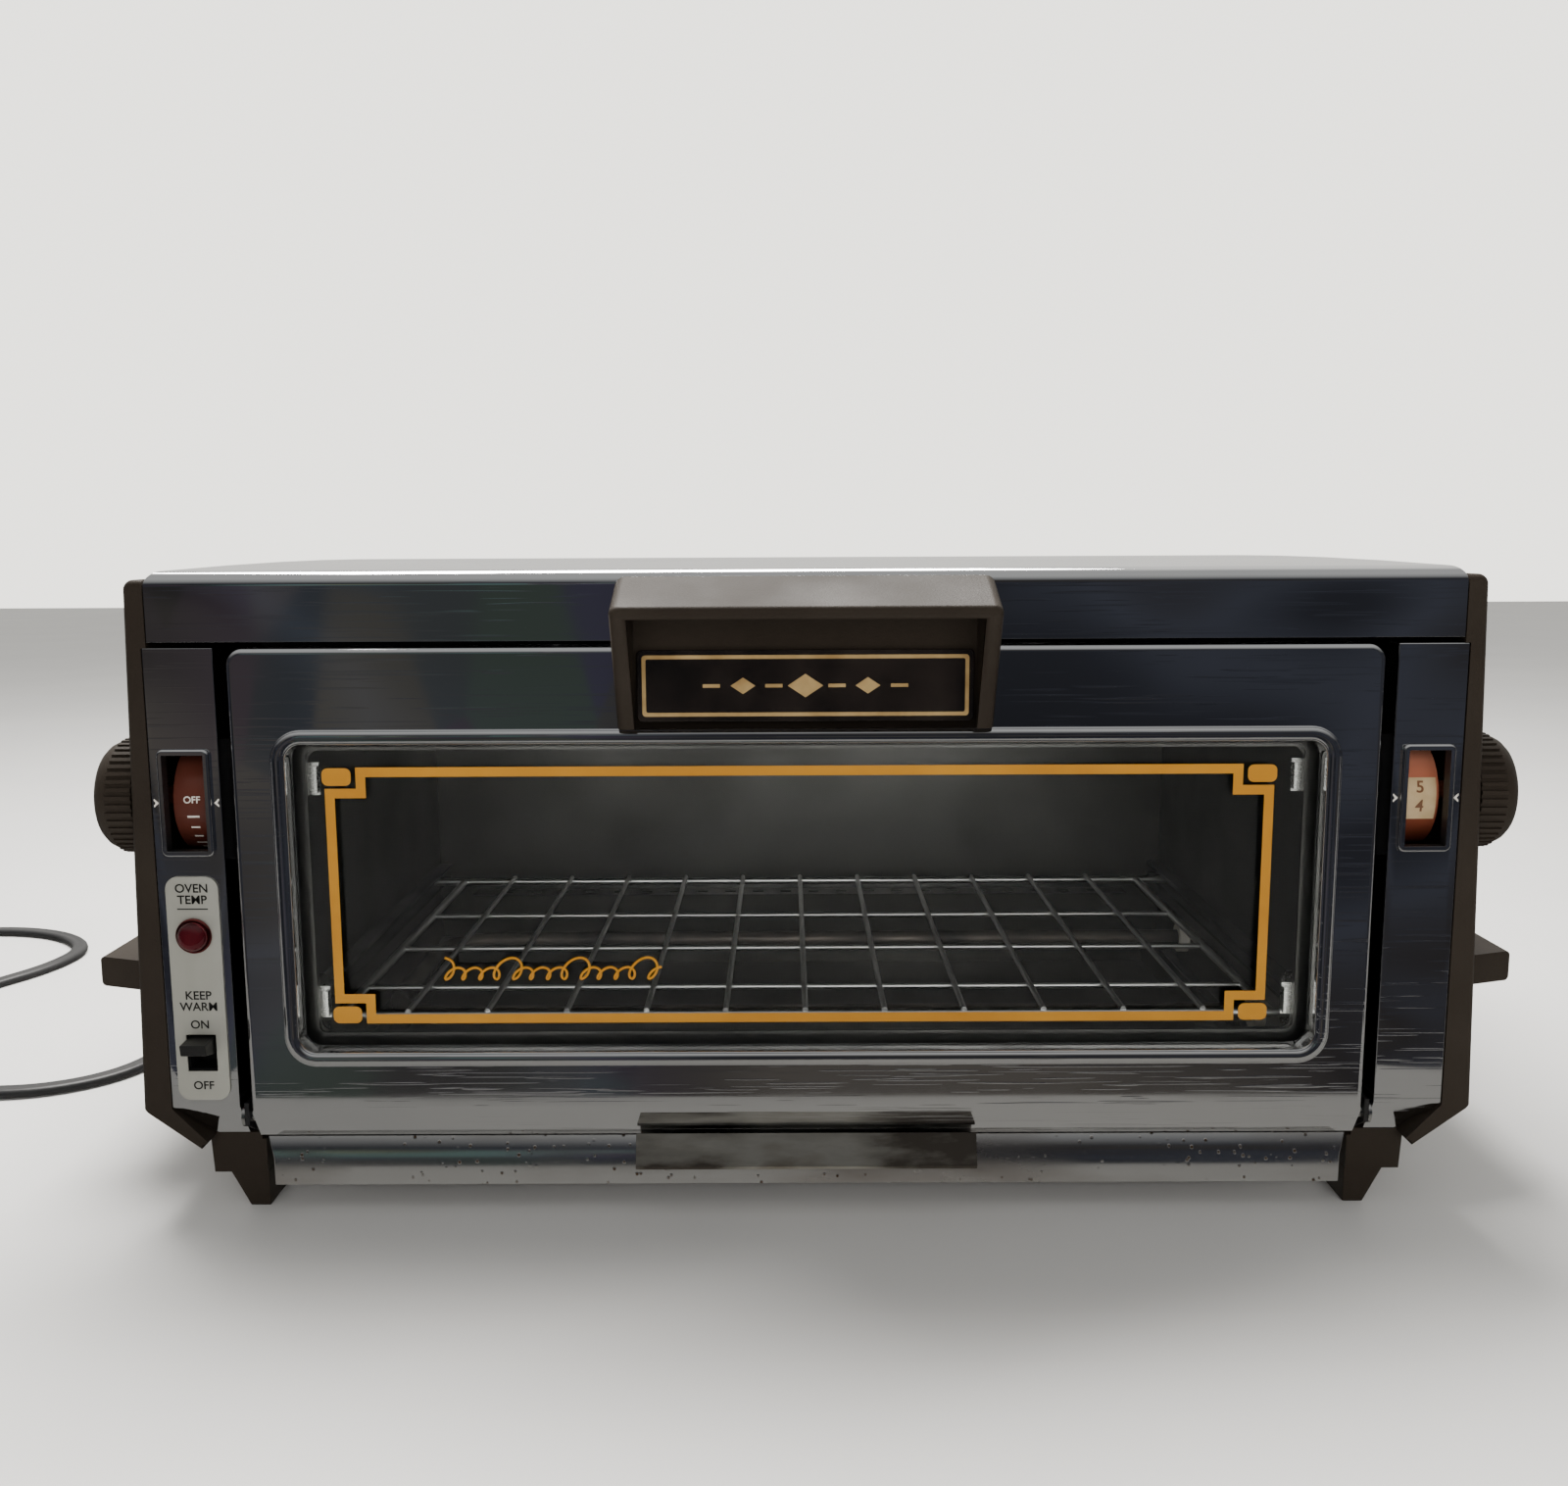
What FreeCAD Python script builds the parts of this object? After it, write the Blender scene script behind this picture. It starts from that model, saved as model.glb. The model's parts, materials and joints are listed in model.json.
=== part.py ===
import FreeCAD, Part

import math
import os

from FreeCAD import Vector

# Countertop toaster oven and broiler, chrome with brown plastic ends.
# Everything is laid out from the plane of the control strips: X runs across the
# front, Y runs back from that plane, Z runs up from the floor. Millimetres.
# save() moves each piece back so that the origin is under the middle of the oven.

# ---- overall
body_half = 193.5        # middle to the outer edge of a control strip
body_depth = 250.0       # front plane to the outside of the back panel
body_top = 198.0         # floor to the front edge of the top cover
front_bottom = 24.4      # lowest edge of the door and the control strips
bevel_top = 35.7         # where their bottom bevel starts
bevel_depth = 7.0        # how far the bevel runs back
sheet = 1.0              # pressed sheet metal
fit_gap = 0.3            # between separate pieces of one body
running_gap = 0.1        # radial, round a pin or shaft
moving_gap = 0.5         # between a fixed and a moving piece

# ---- top cover and back
cover_band = 22.3        # top of the cover down to the door, with the joint
cover_inset = 1.5        # cover edge inside the strip edge
cover_joint = 1.7        # dark line between the door and the cover
cover_corner = 4.5
cover_crown = 1.2
cover_hem = 8.0
vent_count = 9
vent_length = 24.0
vent_height = 4.0
vent_row_drops = (48.0, 60.0)    # upper rows, below the top
vent_row_heights = (70.0, 58.0)  # lower rows, above the floor
bumper_radius = 6.0
bumper_length = 6.0
bumper_inset = 43.5      # a bumper inside the strip edge

# ---- end panels, ledges and feet
panel_drop = 2.4         # top of a panel below the cover
panel_rim = 4.8          # how far the top of a panel stands outside the strips
panel_flare = 4.5        # extra width at the shoulder
panel_wall = 2.8
skirt_inset = 8.1        # outer edge of the foot block inside the strip edge
skirt_height = 22.0
block_height = 11.4
block_width = 17.2
block_depth = 32.0
block_front = 7.0
ledge_reach = 30.7       # outer face of the side handle outside the panel top
ledge_front = 30.0
ledge_back_gap = 30.0    # ledge to the back of the oven
ledge_bottom = 62.3
ledge_thick = 9.8
ledge_taper = 7.0
foot_width = 12.0
foot_narrow = 6.2
foot_length = 16.0
foot_inset = 0.7         # foot behind the front of its block
foot_spigot_radius = 2.6
foot_spigot = 6.0

# ---- control strips
strip_width = 20.5
strip_flange = 8.0
strip_corner_cut = 10.8
window_width = 12.2
bezel_rim = 1.7
bezel_proud = 1.6
bezel_neck = 2.2
plate_half = 7.9
plate_gap = 2.3          # plate above the bevel
plate_drop = 7.8         # plate below the dial window
plate_corner = 4.0
plate_thick = 0.6
lamp_drop = 18.1         # lamp below the top of the plate
lamp_radius = 5.3
lamp_neck_radius = 4.2
lamp_proud = 4.0
slot_half = 4.5
slot_rise = 9.2          # slot above the bottom of the plate
slot_length = 11.5
slider_height = 5.4
slider_proud = 7.5

# ---- dials
dial_drop = 46.8         # dial shaft below the top of the strips
drum_gap = 3.7           # front plane to the drum
drum_radius = 16.3
drum_half = 5.5
shaft_radius = 3.0
shaft_depth = 8.0        # how far the shaft reaches into its control
knob_edge = 1.4          # knob larger than the drum
knob_length = 13.5
knob_dome = 6.0
control_box = (8.4, 18.0, 37.0)

# ---- oven
oven_side_gap = 5.0      # oven wall inside the door edge
oven_front = 18.5
oven_back_gap = 28.0     # oven back to the back of the oven's shell
oven_top_gap = 7.7       # oven roof below the top of the door
floor_rail_top = 25.6
rail_inset = 12.0        # outer edge of the rail inside the strip edge
floor_rail_lap = 4.0     # how far the rail under a wall reaches into the oven
element_radius = 3.3
element_bend = 22.0
element_inset = 14.0     # far bend of an element to the left wall
upper_element_drop = 16.0        # below the oven roof
upper_element_margins = (53.5, 54.0)  # from the oven front and back
lower_element_height = 38.0
lower_element_margins = (59.5, 48.0)
insulator_radius = 6.0
insulator_length = 12.0
baffle_inset = 17.0
baffle_top = 48.4
baffle_depth = 11.0
baffle_slot = (5.0, 3.0)
baffle_pitch = 12.6

# ---- rack
rack_height = 57.0
rack_front = 22.0
rack_back_gap = 22.0     # rack to the oven back
rack_bar_radius = 1.5
rack_wire_radius = 0.95
rack_wire_count = 11
rack_side_gap = 16.0     # side rod to the oven wall
rack_end_gap = 2.7       # bar end to the oven wall
rack_wire_margin = 22.0  # side rod to the first wire
rack_cross_margins = (28.0, 58.0)    # first and last cross wires to the end bars
rack_cross_count = 3
rail_width = 5.5
rail_sheet = 1.2
rail_play = 1.4          # height of a rack rail's channel beyond the bar

# ---- door
door_gap = 4.0           # door edge to control strip
door_front = 2.0         # how far the door stands in front of the strips
door_pan = 9.0           # back edge of the pressed door front
door_corner = 5.0
window_side = 16.2       # window to the side edge of the door
window_rise = 17.8       # window above the bevel
window_drop = 28.3       # window below the top of the door
window_corner = 5.0
rim_width = 4.4
rim_wall = 1.4
rim_proud = 0.8
rim_back = 4.2
glass_thick = 3.2
glass_lap = 4.0
inner_frame_lap = 3.0
hinge_depth = 3.5        # hinge axis behind the front plane
hinge_height = 31.5
hinge_pin_radius = 2.0
hinge_head_radius = 3.4
door_swing = 90.0        # degrees
rack_per_radian = 32.0   # how far the rack slides for each radian of door
arm_gap = 9.0            # inner face of a door arm inside the oven wall
arm_sheet = 1.6
arm_margin = 3.2
handle_half = 54.5
handle_drop = 2.0        # handle below the top of the cover
handle_reach = 24.0      # front lip in front of the front plane
handle_lip = 2.4
handle_corner = 3.0
handle_slope = 8.0
handle_back = 2.8
handle_cheek = 5.0
badge_margin = 5.9       # badge inside the ends of the handle
badge_rise = 2.2         # badge above the bottom of the handle
badge_height = 20.7
badge_thick = 1.2
handle_screw_reach = 35.0
screw_radius = 1.8
screw_head_radius = 3.4

# ---- crumb tray
tray_side_gap = 0.7      # tray rail to the foot blocks
tray_slant = 2.6         # how far its ends slant in
tray_top = 23.4
tray_fold = 17.3
tray_bottom = 8.6
tray_front = 3.4
pan_side_gap = 7.2       # pan to the foot blocks
pan_bottom = 9.2
pan_rim = 19.5
pan_back_gap = 16.0      # pan to the back of the oven's shell
runner_gap = 0.6
tab_half = 52.3
tab_low = 14.8
tab_top = 25.6
tab_reach = 5.2          # how far the fold of the tab stands in front of the rail
tab_lean = 1.4           # how far its top stands in front of the rail
tab_sheet = 0.9

# ---- cord
cord_radius = 3.0
cord_exit = (-150.0, 34.0)
relief_radius = 6.5
relief_length = 8.0
coil_radius = 42.0
coil_hole = 27.0
coil_height = 11.0
plug_size = (26.0, 19.0, 17.0)

# ---- worked out from the sizes above
front_top = body_top - cover_band       # top edge of the door and the control strips
panel_top = body_top - panel_drop
vent_pitch = (body_half - 3.5) / 5
vent_rows = [body_top - drop for drop in vent_row_drops] + list(vent_row_heights)
bumper_reach = body_half - bumper_inset
bumper_height = body_top / 2 + 5.0
ledge_length = body_depth - ledge_front - ledge_back_gap
control_reach = body_half - strip_width / 2
dial_depth = drum_radius + drum_gap
dial_height = front_top - dial_drop
window_bottom = dial_height - drum_radius + 2.9
window_top = dial_height + drum_radius - 0.9
knob_radius = drum_radius + knob_edge
plate_bottom = bevel_top + plate_gap
plate_top = window_bottom - plate_drop
lamp_height = plate_top - lamp_drop
slot_bottom = plate_bottom + slot_rise
slot_top = slot_bottom + slot_length
door_half = body_half - strip_width - door_gap
window_half = door_half - window_side
window_low = bevel_top + window_rise
window_high = front_top - window_drop
handle_bottom = window_high + rim_width + fit_gap
handle_top = body_top - handle_drop
badge_half = handle_half - badge_margin
badge_bottom = handle_bottom + badge_rise
badge_top = badge_bottom + badge_height
oven_half = door_half - oven_side_gap
oven_back = body_depth - oven_back_gap
oven_top = front_top - oven_top_gap
upper_element_height = oven_top - upper_element_drop
upper_element_rows = (oven_front + upper_element_margins[0], oven_back - upper_element_margins[1])
lower_element_rows = (oven_front + lower_element_margins[0], oven_back - lower_element_margins[1])
baffle_half = oven_half - baffle_inset
rack_back = oven_back - rack_back_gap
rack_side = oven_half - rack_side_gap
rack_bar_half = oven_half - rack_end_gap
rack_wire_pitch = 2 * (rack_side - rack_wire_margin) / (rack_wire_count - 1)
rack_cross_step = ((rack_back - rack_front - sum(rack_cross_margins)) / (rack_cross_count - 1))
rack_cross_rows = [rack_front + rack_cross_margins[0] + i * rack_cross_step
                   for i in range(rack_cross_count)]
rail_room = 2 * rack_bar_radius + rail_play + rail_sheet    # height between a rail's flanges
arm_reach = oven_half - arm_gap
strip_inner = body_half - strip_width
cover_half = body_half - cover_inset
cover_bottom = front_top + cover_joint
panel_inner = body_half + fit_gap
panel_outer = body_half + panel_rim
shoulder = panel_outer + panel_flare
skirt = body_half - skirt_inset
block_inner = skirt - block_width
tray_half = block_inner - tray_side_gap
tray_foot_half = tray_half - tray_slant
pan_half = block_inner - pan_side_gap
pan_back = body_depth - pan_back_gap
runner_edge = pan_half + runner_gap
bearing_top = skirt_height + 2.4
frame_bottom = bearing_top + fit_gap
hinge_bracket = strip_inner - 1.2
inner_frame_back = door_pan + fit_gap + sheet
glass_front = rim_back + fit_gap
centre_depth = (body_depth + bumper_length - handle_reach) / 2


def box(x, y, z):
    """Block between two limits along each axis, given as (low, high) pairs."""
    lows = [min(pair) for pair in (x, y, z)]
    highs = [max(pair) for pair in (x, y, z)]
    size = [high - low for low, high in zip(lows, highs)]
    return Part.makeBox(size[0], size[1], size[2], Vector(*lows))


def face_of(corners):
    return Part.Face(Part.makePolygon(corners + corners[:1]))


def across(outline, x_from, x_to):
    """Outline of (y, z) points carried from one X to another."""
    corners = [Vector(x_from, y, z) for y, z in outline]
    return face_of(corners).extrude(Vector(x_to - x_from, 0, 0))


def backward(outline, y_from, y_to):
    """Outline of (x, z) points carried from one Y to another."""
    corners = [Vector(x, y_from, z) for x, z in outline]
    return face_of(corners).extrude(Vector(0, y_to - y_from, 0))


def rod_x(x_from, x_to, y, z, radius):
    low, high = sorted((x_from, x_to))
    return Part.makeCylinder(radius, high - low, Vector(low, y, z), Vector(1, 0, 0))


def rod_y(x, y_from, y_to, z, radius):
    low, high = sorted((y_from, y_to))
    return Part.makeCylinder(radius, high - low, Vector(x, low, z), Vector(0, 1, 0))


def rounded_slab(x, y, z, radius):
    """Block whose four edges along Y are rounded."""
    slab = box(x, y, z)
    long_edges = [edge for edge in slab.Edges if abs(edge.tangentAt(0).y) > 0.9]
    return slab.makeFillet(radius, long_edges)


def fuse(first, *others):
    return first.multiFuse(list(others)).removeSplitter()


def other_side(shape):
    return shape.mirror(Vector(0, 0, 0), Vector(1, 0, 0))


def rounded(shape, radius, chosen):
    """Fillet the edges for which chosen(edge) is true."""
    return shape.makeFillet(radius, [edge for edge in shape.Edges if chosen(edge)])


def along(edge, axis):
    direction = edge.Vertexes[-1].Point - edge.Vertexes[0].Point
    return direction.Length > 0.1 and abs(getattr(direction, axis)) > 0.999 * direction.Length


def bent_path(points, reach):
    """Straight runs joined by tangent arcs; reach gives how far an arc eats into its runs."""
    edges = []
    start = points[0]
    for before, corner, after in zip(points, points[1:], points[2:]):
        into = corner - before
        out = after - corner
        half_turn = into.getAngle(out) / 2
        tangent = reach(into, out, half_turn)
        bend = tangent / math.tan(half_turn)
        into.normalize()
        out.normalize()
        arc_start = corner - into * tangent
        arc_end = corner + out * tangent
        inward = out - into
        inward.normalize()
        arc_middle = corner + inward * (bend / math.cos(half_turn) - bend)
        edges.append(Part.LineSegment(start, arc_start).toShape())
        edges.append(Part.Arc(arc_start, arc_middle, arc_end).toShape())
        start = arc_end
    edges.append(Part.LineSegment(start, points[-1]).toShape())
    return Part.Wire(edges)


def swept_rod(path, radius):
    first = path.Edges[0]
    start = first.valueAt(first.FirstParameter)
    circle = Part.Circle(start, first.tangentAt(first.FirstParameter), radius)
    return path.makePipeShell([Part.Wire(circle.toShape())], True, False)


def save(name, shape):
    placed = shape.copy()
    placed.translate(Vector(0, -centre_depth, 0))
    placed.exportStep("parts/" + name + ".step")


def save_pair(name, right):
    save(name + "_right", right)
    save(name + "_left", other_side(right))


# ------------------------------------------------------------------ shell
def end_panel():
    """Right end: moulded wall with a skirt, a ledge to lift by and two foot blocks."""
    cover_edge = cover_half + fit_gap
    corner_x = body_half - strip_corner_cut + 0.8
    outline = [
        (cover_edge, panel_top),
        (panel_outer, panel_top),
        (shoulder, bevel_top - 0.9),
        (skirt, skirt_height),
        (skirt, skirt_height + 1.0),
        (corner_x, front_bottom - fit_gap),
        (panel_inner, bevel_top - 0.9),
        (panel_inner, front_top),
        (cover_edge, front_top),
    ]
    wall = backward(outline, 0, body_depth)
    wall = rounded(wall, 3.0, lambda e: along(e, "y") and e.BoundBox.XMax > panel_outer - 0.1
                   and e.BoundBox.ZMin > bevel_top)
    wall = rounded(wall, 2.0, lambda e: e.BoundBox.YMax < 0.1 and e.BoundBox.XMin > panel_outer
                   and e.BoundBox.ZLength > 50)
    pocket = [
        (panel_inner - 4.0, front_top - 5.0),
        (panel_outer + 0.5 - panel_wall, front_top - 5.0),
        (shoulder - panel_wall, bevel_top + 4.0),
        (panel_inner - 4.0, bevel_top + 4.0),
    ]
    wall = wall.cut(backward(pocket, 8.0, body_depth - 6.0))
    flange_back = body_depth - sheet - fit_gap
    flange = fuse(
        box((max(block_inner, door_half + moving_gap), skirt), (block_front, flange_back),
            (skirt_height, bearing_top)),
        box((block_inner, skirt), (door_pan + 3.0, flange_back),
            (skirt_height, bearing_top)))
    panel = fuse(wall, flange)
    for front in (block_front, body_depth - block_depth - 3.0):
        block_outline = [
            (block_inner, block_height),
            (skirt - 0.6, block_height),
            (skirt, skirt_height + 0.2),
            (block_inner, skirt_height + 0.2),
        ]
        panel = fuse(panel, backward(block_outline, front, front + block_depth))
    hole = Part.makeCylinder(foot_spigot_radius + 0.1, foot_spigot + 0.4)
    for x, y in foot_places():
        spigot_hole = hole.copy()
        spigot_hole.translate(Vector(x, y, block_height - 0.2))
        panel = panel.cut(spigot_hole)
    panel = fuse(panel, lifting_ledge())
    return panel.cut(rod_x(panel_inner - 1, shoulder + 1, dial_depth, dial_height,
                           shaft_radius + moving_gap))


def lifting_ledge():
    """Side handle: a shelf that is narrower towards its outer edge."""
    root = panel_outer - 0.5
    tip = body_half + 6.5 + ledge_reach
    back = ledge_front + ledge_length
    corners = [
        Vector(root, ledge_front - 4.0, ledge_bottom),
        Vector(tip, ledge_front + ledge_taper, ledge_bottom),
        Vector(tip, back - ledge_taper, ledge_bottom),
        Vector(root, back + 4.0, ledge_bottom),
    ]
    ledge = face_of(corners).extrude(Vector(0, 0, ledge_thick))
    return rounded(ledge, 1.5, lambda e: e.BoundBox.XMin > tip - 0.1 and along(e, "y"))


def foot_places():
    """Foot centres on the right side, front and back."""
    x = block_inner + foot_width / 2
    inset = foot_inset + foot_length / 2
    return [(x, block_front + inset), (x, body_depth - 3.0 - inset)]


def foot(x, y):
    """Tapered leg with a spigot that goes up into the foot block."""
    outline = [
        (x - foot_width / 2, block_height - 0.1),
        (x + foot_width / 2, block_height - 0.1),
        (x - foot_width / 2 + foot_narrow, 0),
        (x - foot_width / 2, 0),
    ]
    leg = backward(outline, y - foot_length / 2, y + foot_length / 2)
    spigot = Part.makeCylinder(foot_spigot_radius, foot_spigot, Vector(x, y, block_height - 0.3))
    return fuse(leg, spigot)


def cover_shell(inset):
    """Outer or inner surface of the top cover as a solid."""
    top = body_top - inset
    front = inset
    back = body_depth - inset
    half = cover_half - inset
    low = cover_bottom if inset == 0 else cover_bottom - 1.0
    ends = [Vector(-half, front, low), Vector(-half, front, top)]
    crown = Vector(-half, (front + back) / 2, top + cover_crown)
    rear = [Vector(-half, back, top), Vector(-half, back, low)]
    edges = [
        Part.LineSegment(ends[0], ends[1]).toShape(),
        Part.Arc(ends[1], crown, rear[0]).toShape(),
        Part.LineSegment(rear[0], rear[1]).toShape(),
        Part.LineSegment(rear[1], ends[0]).toShape(),
    ]
    solid = Part.Face(Part.Wire(edges)).extrude(Vector(2 * half, 0, 0))
    return rounded(solid, cover_corner - inset,
                   lambda e: e.BoundBox.ZMin > top - 0.1 and e.Length > 100)


def top_cover():
    """Chrome lid with a front band, open below, with a hem along the front."""
    lid = cover_shell(0).cut(cover_shell(sheet))
    hem = box((-cover_half + sheet, cover_half - sheet), (0.5, cover_hem),
              (cover_bottom, cover_bottom + sheet))
    return fuse(lid, hem)


def back_panel():
    """Sheet behind the oven with rows of vents and the cord's hole."""
    edge = cover_half - fit_gap
    lower_edge = body_half - strip_corner_cut - 1.0
    outline = [
        (-edge, cover_bottom - fit_gap),
        (edge, cover_bottom - fit_gap),
        (edge, bevel_top),
        (lower_edge, frame_bottom),
        (-lower_edge, frame_bottom),
        (-edge, bevel_top),
    ]
    panel = backward(outline, body_depth - sheet, body_depth)
    slots = []
    for z in vent_rows:
        for column in range(vent_count):
            x = (column - (vent_count - 1) / 2) * vent_pitch
            slots.append(rounded_slab((x - vent_length / 2, x + vent_length / 2),
                                      (body_depth - 3, body_depth + 1),
                                      (z - vent_height / 2, z + vent_height / 2),
                                      vent_height / 2 - 0.1))
    hole = rod_y(cord_exit[0], body_depth - 3, body_depth + 1, cord_exit[1],
                 relief_radius - 2 + running_gap)
    return panel.cut(Part.makeCompound(slots + [hole]))


def rear_bumper(x):
    stud = rod_y(x, body_depth + 0.05, body_depth + bumper_length, bumper_height, bumper_radius)
    return rounded(stud, 1.2, lambda e: e.BoundBox.YMin > body_depth + bumper_length - 0.1)


def base_frame():
    """Steel rails that carry the oven and the crumb tray, with the two hinge brackets."""
    side = box((oven_half - floor_rail_lap, body_half - rail_inset), (oven_front, body_depth - sheet - fit_gap),
               (frame_bottom, floor_rail_top))
    web = box((block_inner - 1.6, block_inner - 0.4), (oven_front, body_depth - 4),
              (pan_rim - 2.3, frame_bottom + 0.2))
    runner = box((runner_edge, block_inner - 1.0), (oven_front, body_depth - 4),
                 (pan_rim - 2.3, pan_rim - 1.3))
    bracket_front = hinge_depth - 3.2
    bracket = across([
        (bracket_front, hinge_height + 5),
        (bracket_front, hinge_height - 2),
        (bevel_depth + 1, frame_bottom),
        (oven_front + 8, frame_bottom),
        (oven_front + 8, hinge_height + 5),
    ], hinge_bracket - 1.4, hinge_bracket)
    right = fuse(side, web, runner, bracket)
    right = right.cut(rod_x(hinge_bracket - 3, hinge_bracket + 2, hinge_depth, hinge_height,
                            hinge_pin_radius + 0.05))
    rear = box((-block_inner + 1, block_inner - 1), (pan_back + 6, body_depth - 4),
               (pan_rim - 2.3, floor_rail_top))
    return fuse(right, other_side(right), rear)


def hinge_pin():
    """Headed pin fixed in the bracket; the door turns on its inner end."""
    shank = rod_x(door_half - 6, hinge_bracket + 0.1, hinge_depth, hinge_height, hinge_pin_radius)
    head = rod_x(hinge_bracket + 0.05, strip_inner - 0.15, hinge_depth, hinge_height,
                 hinge_head_radius)
    return fuse(shank, head)


# ------------------------------------------------------------------ controls
def control_strip():
    """Right strip: chrome face with a bottom bevel, a cut corner and an inner flange."""
    face = [
        (0, front_top),
        (0, bevel_top),
        (bevel_depth, front_bottom),
        (bevel_depth + sheet, front_bottom + 0.6),
        (sheet, bevel_top + 0.4),
        (sheet, front_top),
    ]
    flange = [
        (0, front_top),
        (0, bevel_top),
        (bevel_depth, front_bottom),
        (bevel_depth, bevel_top),
        (strip_flange, bevel_top + 3),
        (strip_flange, front_top),
    ]
    strip = fuse(across(face, strip_inner, body_half),
                 across(flange, strip_inner, strip_inner + sheet))
    corner = [
        (body_half, bevel_top - 0.9),
        (body_half - strip_corner_cut, front_bottom - 0.1),
        (body_half + 1, front_bottom - 0.1),
        (body_half + 1, bevel_top - 0.9),
    ]
    strip = strip.cut(backward(corner, -1, bevel_depth + 2))
    neck = window_width / 2 + sheet + 0.15
    opening = box((control_reach - neck, control_reach + neck), (-1, sheet + 1),
                  (window_bottom - sheet - 0.15, window_top + sheet + 0.15))
    return strip.cut(opening)


def left_strip():
    """The left strip also has the lamp hole and the slider slot."""
    strip = other_side(control_strip())
    lamp = rod_y(-control_reach, -1, sheet + 1, lamp_height, lamp_neck_radius + 0.25)
    slot = box((-control_reach - slot_half - 0.4, -control_reach + slot_half + 0.4),
               (-1, sheet + 1), (slot_bottom - 0.4, slot_top + 0.4))
    return strip.cut(lamp).cut(slot)


def window_bezel():
    """Raised chrome rim round a dial window, with a neck through the strip."""
    half = window_width / 2
    rim = rounded_slab((control_reach - half - bezel_rim, control_reach + half + bezel_rim),
                       (-bezel_proud, -0.05),
                       (window_bottom - bezel_rim, window_top + bezel_rim), 2.0)
    rim = rounded(rim, 0.8, lambda e: e.BoundBox.YMax < -bezel_proud + 0.1)
    neck = box((control_reach - half - sheet, control_reach + half + sheet),
               (-0.5, bezel_neck), (window_bottom - sheet, window_top + sheet))
    opening = box((control_reach - half, control_reach + half), (-3, bezel_neck + 1),
                  (window_bottom, window_top))
    return fuse(rim, neck).cut(opening)


def control_label_plate():
    plate = rounded_slab((-control_reach - plate_half, -control_reach + plate_half),
                         (-plate_thick - 0.05, -0.05), (plate_bottom, plate_top), plate_corner)
    lamp = rod_y(-control_reach, -2, 1, lamp_height, lamp_neck_radius + 0.2)
    slot = box((-control_reach - slot_half, -control_reach + slot_half), (-2, 1),
               (slot_bottom, slot_top))
    return plate.cut(lamp).cut(slot)


def pilot_lamp_lens():
    """Red jewel: a flange on the plate, a dome in front and a hollow neck behind."""
    front = -plate_thick - 0.1
    flange = rod_y(-control_reach, front - 0.9, front, lamp_height, lamp_radius)
    dome = rod_y(-control_reach, front - lamp_proud, front - 0.4, lamp_height, lamp_neck_radius)
    dome = rounded(dome, 2.2, lambda e: e.BoundBox.YMax < front - lamp_proud + 0.1)
    neck = rod_y(-control_reach, front - 0.2, 6.0, lamp_height, lamp_neck_radius)
    bore = rod_y(-control_reach, front - 1.5, 7.0, lamp_height, lamp_neck_radius - 1.0)
    return fuse(flange, dome, neck).cut(bore)


def pilot_lamp_bulb():
    bulb = rod_y(-control_reach, 0.5, 15.0, lamp_height, lamp_neck_radius - 1.3)
    return rounded(bulb, 2.0, lambda e: e.BoundBox.YMax < 0.6)


def keep_warm_switch_body():
    """Switch behind the left strip, with a pocket that the slider runs in."""
    case = box((-control_reach - 7, -control_reach + 7), (sheet + fit_gap, 16),
               (slot_bottom - 5, slot_top + 5))
    pocket = box((-control_reach - slot_half + 0.2, -control_reach + slot_half - 0.2), (0, 9),
                 (slot_bottom + 0.2, slot_top - 0.2))
    return case.cut(pocket)


def keep_warm_slider():
    """Slider shown at the top of its slot, with a sloping thumb face."""
    top = slot_top - 0.5
    outline = [
        (8.0, top - slider_height),
        (8.0, top),
        (-slider_proud, top - 0.6),
        (-slider_proud + 0.6, top - slider_height + 1.4),
        (-plate_thick - 0.6, top - slider_height),
    ]
    half = slot_half - 0.6
    return across(outline, -control_reach - half, -control_reach + half)


def control_body():
    """Right control behind its drum: a case with a bore for the shaft's inner end."""
    width, depth, height = control_box
    outer = control_reach - drum_half - 1.4
    case = box((outer - width, outer), (dial_depth - depth / 2, dial_depth + depth / 2),
               (dial_height - height / 2, dial_height + height / 2))
    return case.cut(rod_x(outer - shaft_depth - 1, outer + 1, dial_depth, dial_height,
                          shaft_radius + running_gap))


def dial_drum():
    """Right drum and its shaft, from the control out to the knob."""
    outer = control_reach + drum_half
    inner = control_reach - drum_half
    drum = rod_x(inner, outer, dial_depth, dial_height, drum_radius)
    hollow = rod_x(inner - 1, outer - 2.5, dial_depth, dial_height, drum_radius - 2.4)
    hub = rod_x(inner, outer - 1, dial_depth, dial_height, shaft_radius + 2.5)
    shaft = rod_x(inner - 1.4 - shaft_depth, knob_seat() + knob_length * 0.6, dial_depth,
                  dial_height, shaft_radius)
    return fuse(drum.cut(hollow), hub, shaft)


def knob_seat():
    """X of a knob's inner face: just clear of the sloping panel."""
    fall = (panel_top - dial_height + knob_radius) / (panel_top - bevel_top)
    return panel_outer + panel_flare * fall + moving_gap


def dial_knob():
    """Right thumb knob: a drum with a domed end and a blind bore for the shaft."""
    seat = knob_seat()
    knob = rod_x(seat, seat + knob_length, dial_depth, dial_height, knob_radius)
    knob = rounded(knob, knob_dome, lambda e: e.BoundBox.XMin > seat + knob_length - 0.1)
    bore = rod_x(seat - 1, seat + knob_length * 0.6 + 0.3, dial_depth, dial_height,
                 shaft_radius + 0.05)
    return knob.cut(bore)


# ------------------------------------------------------------------ oven
def oven_wall():
    """Right wall of the oven, standing on the base rail."""
    wall = box((oven_half, oven_half + sheet), (oven_front, oven_back),
               (floor_rail_top, oven_top))
    foot_strip = box((oven_half, oven_half + 8), (oven_front + 9, oven_back),
                     (floor_rail_top, floor_rail_top + sheet))
    return fuse(wall, foot_strip)


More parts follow.
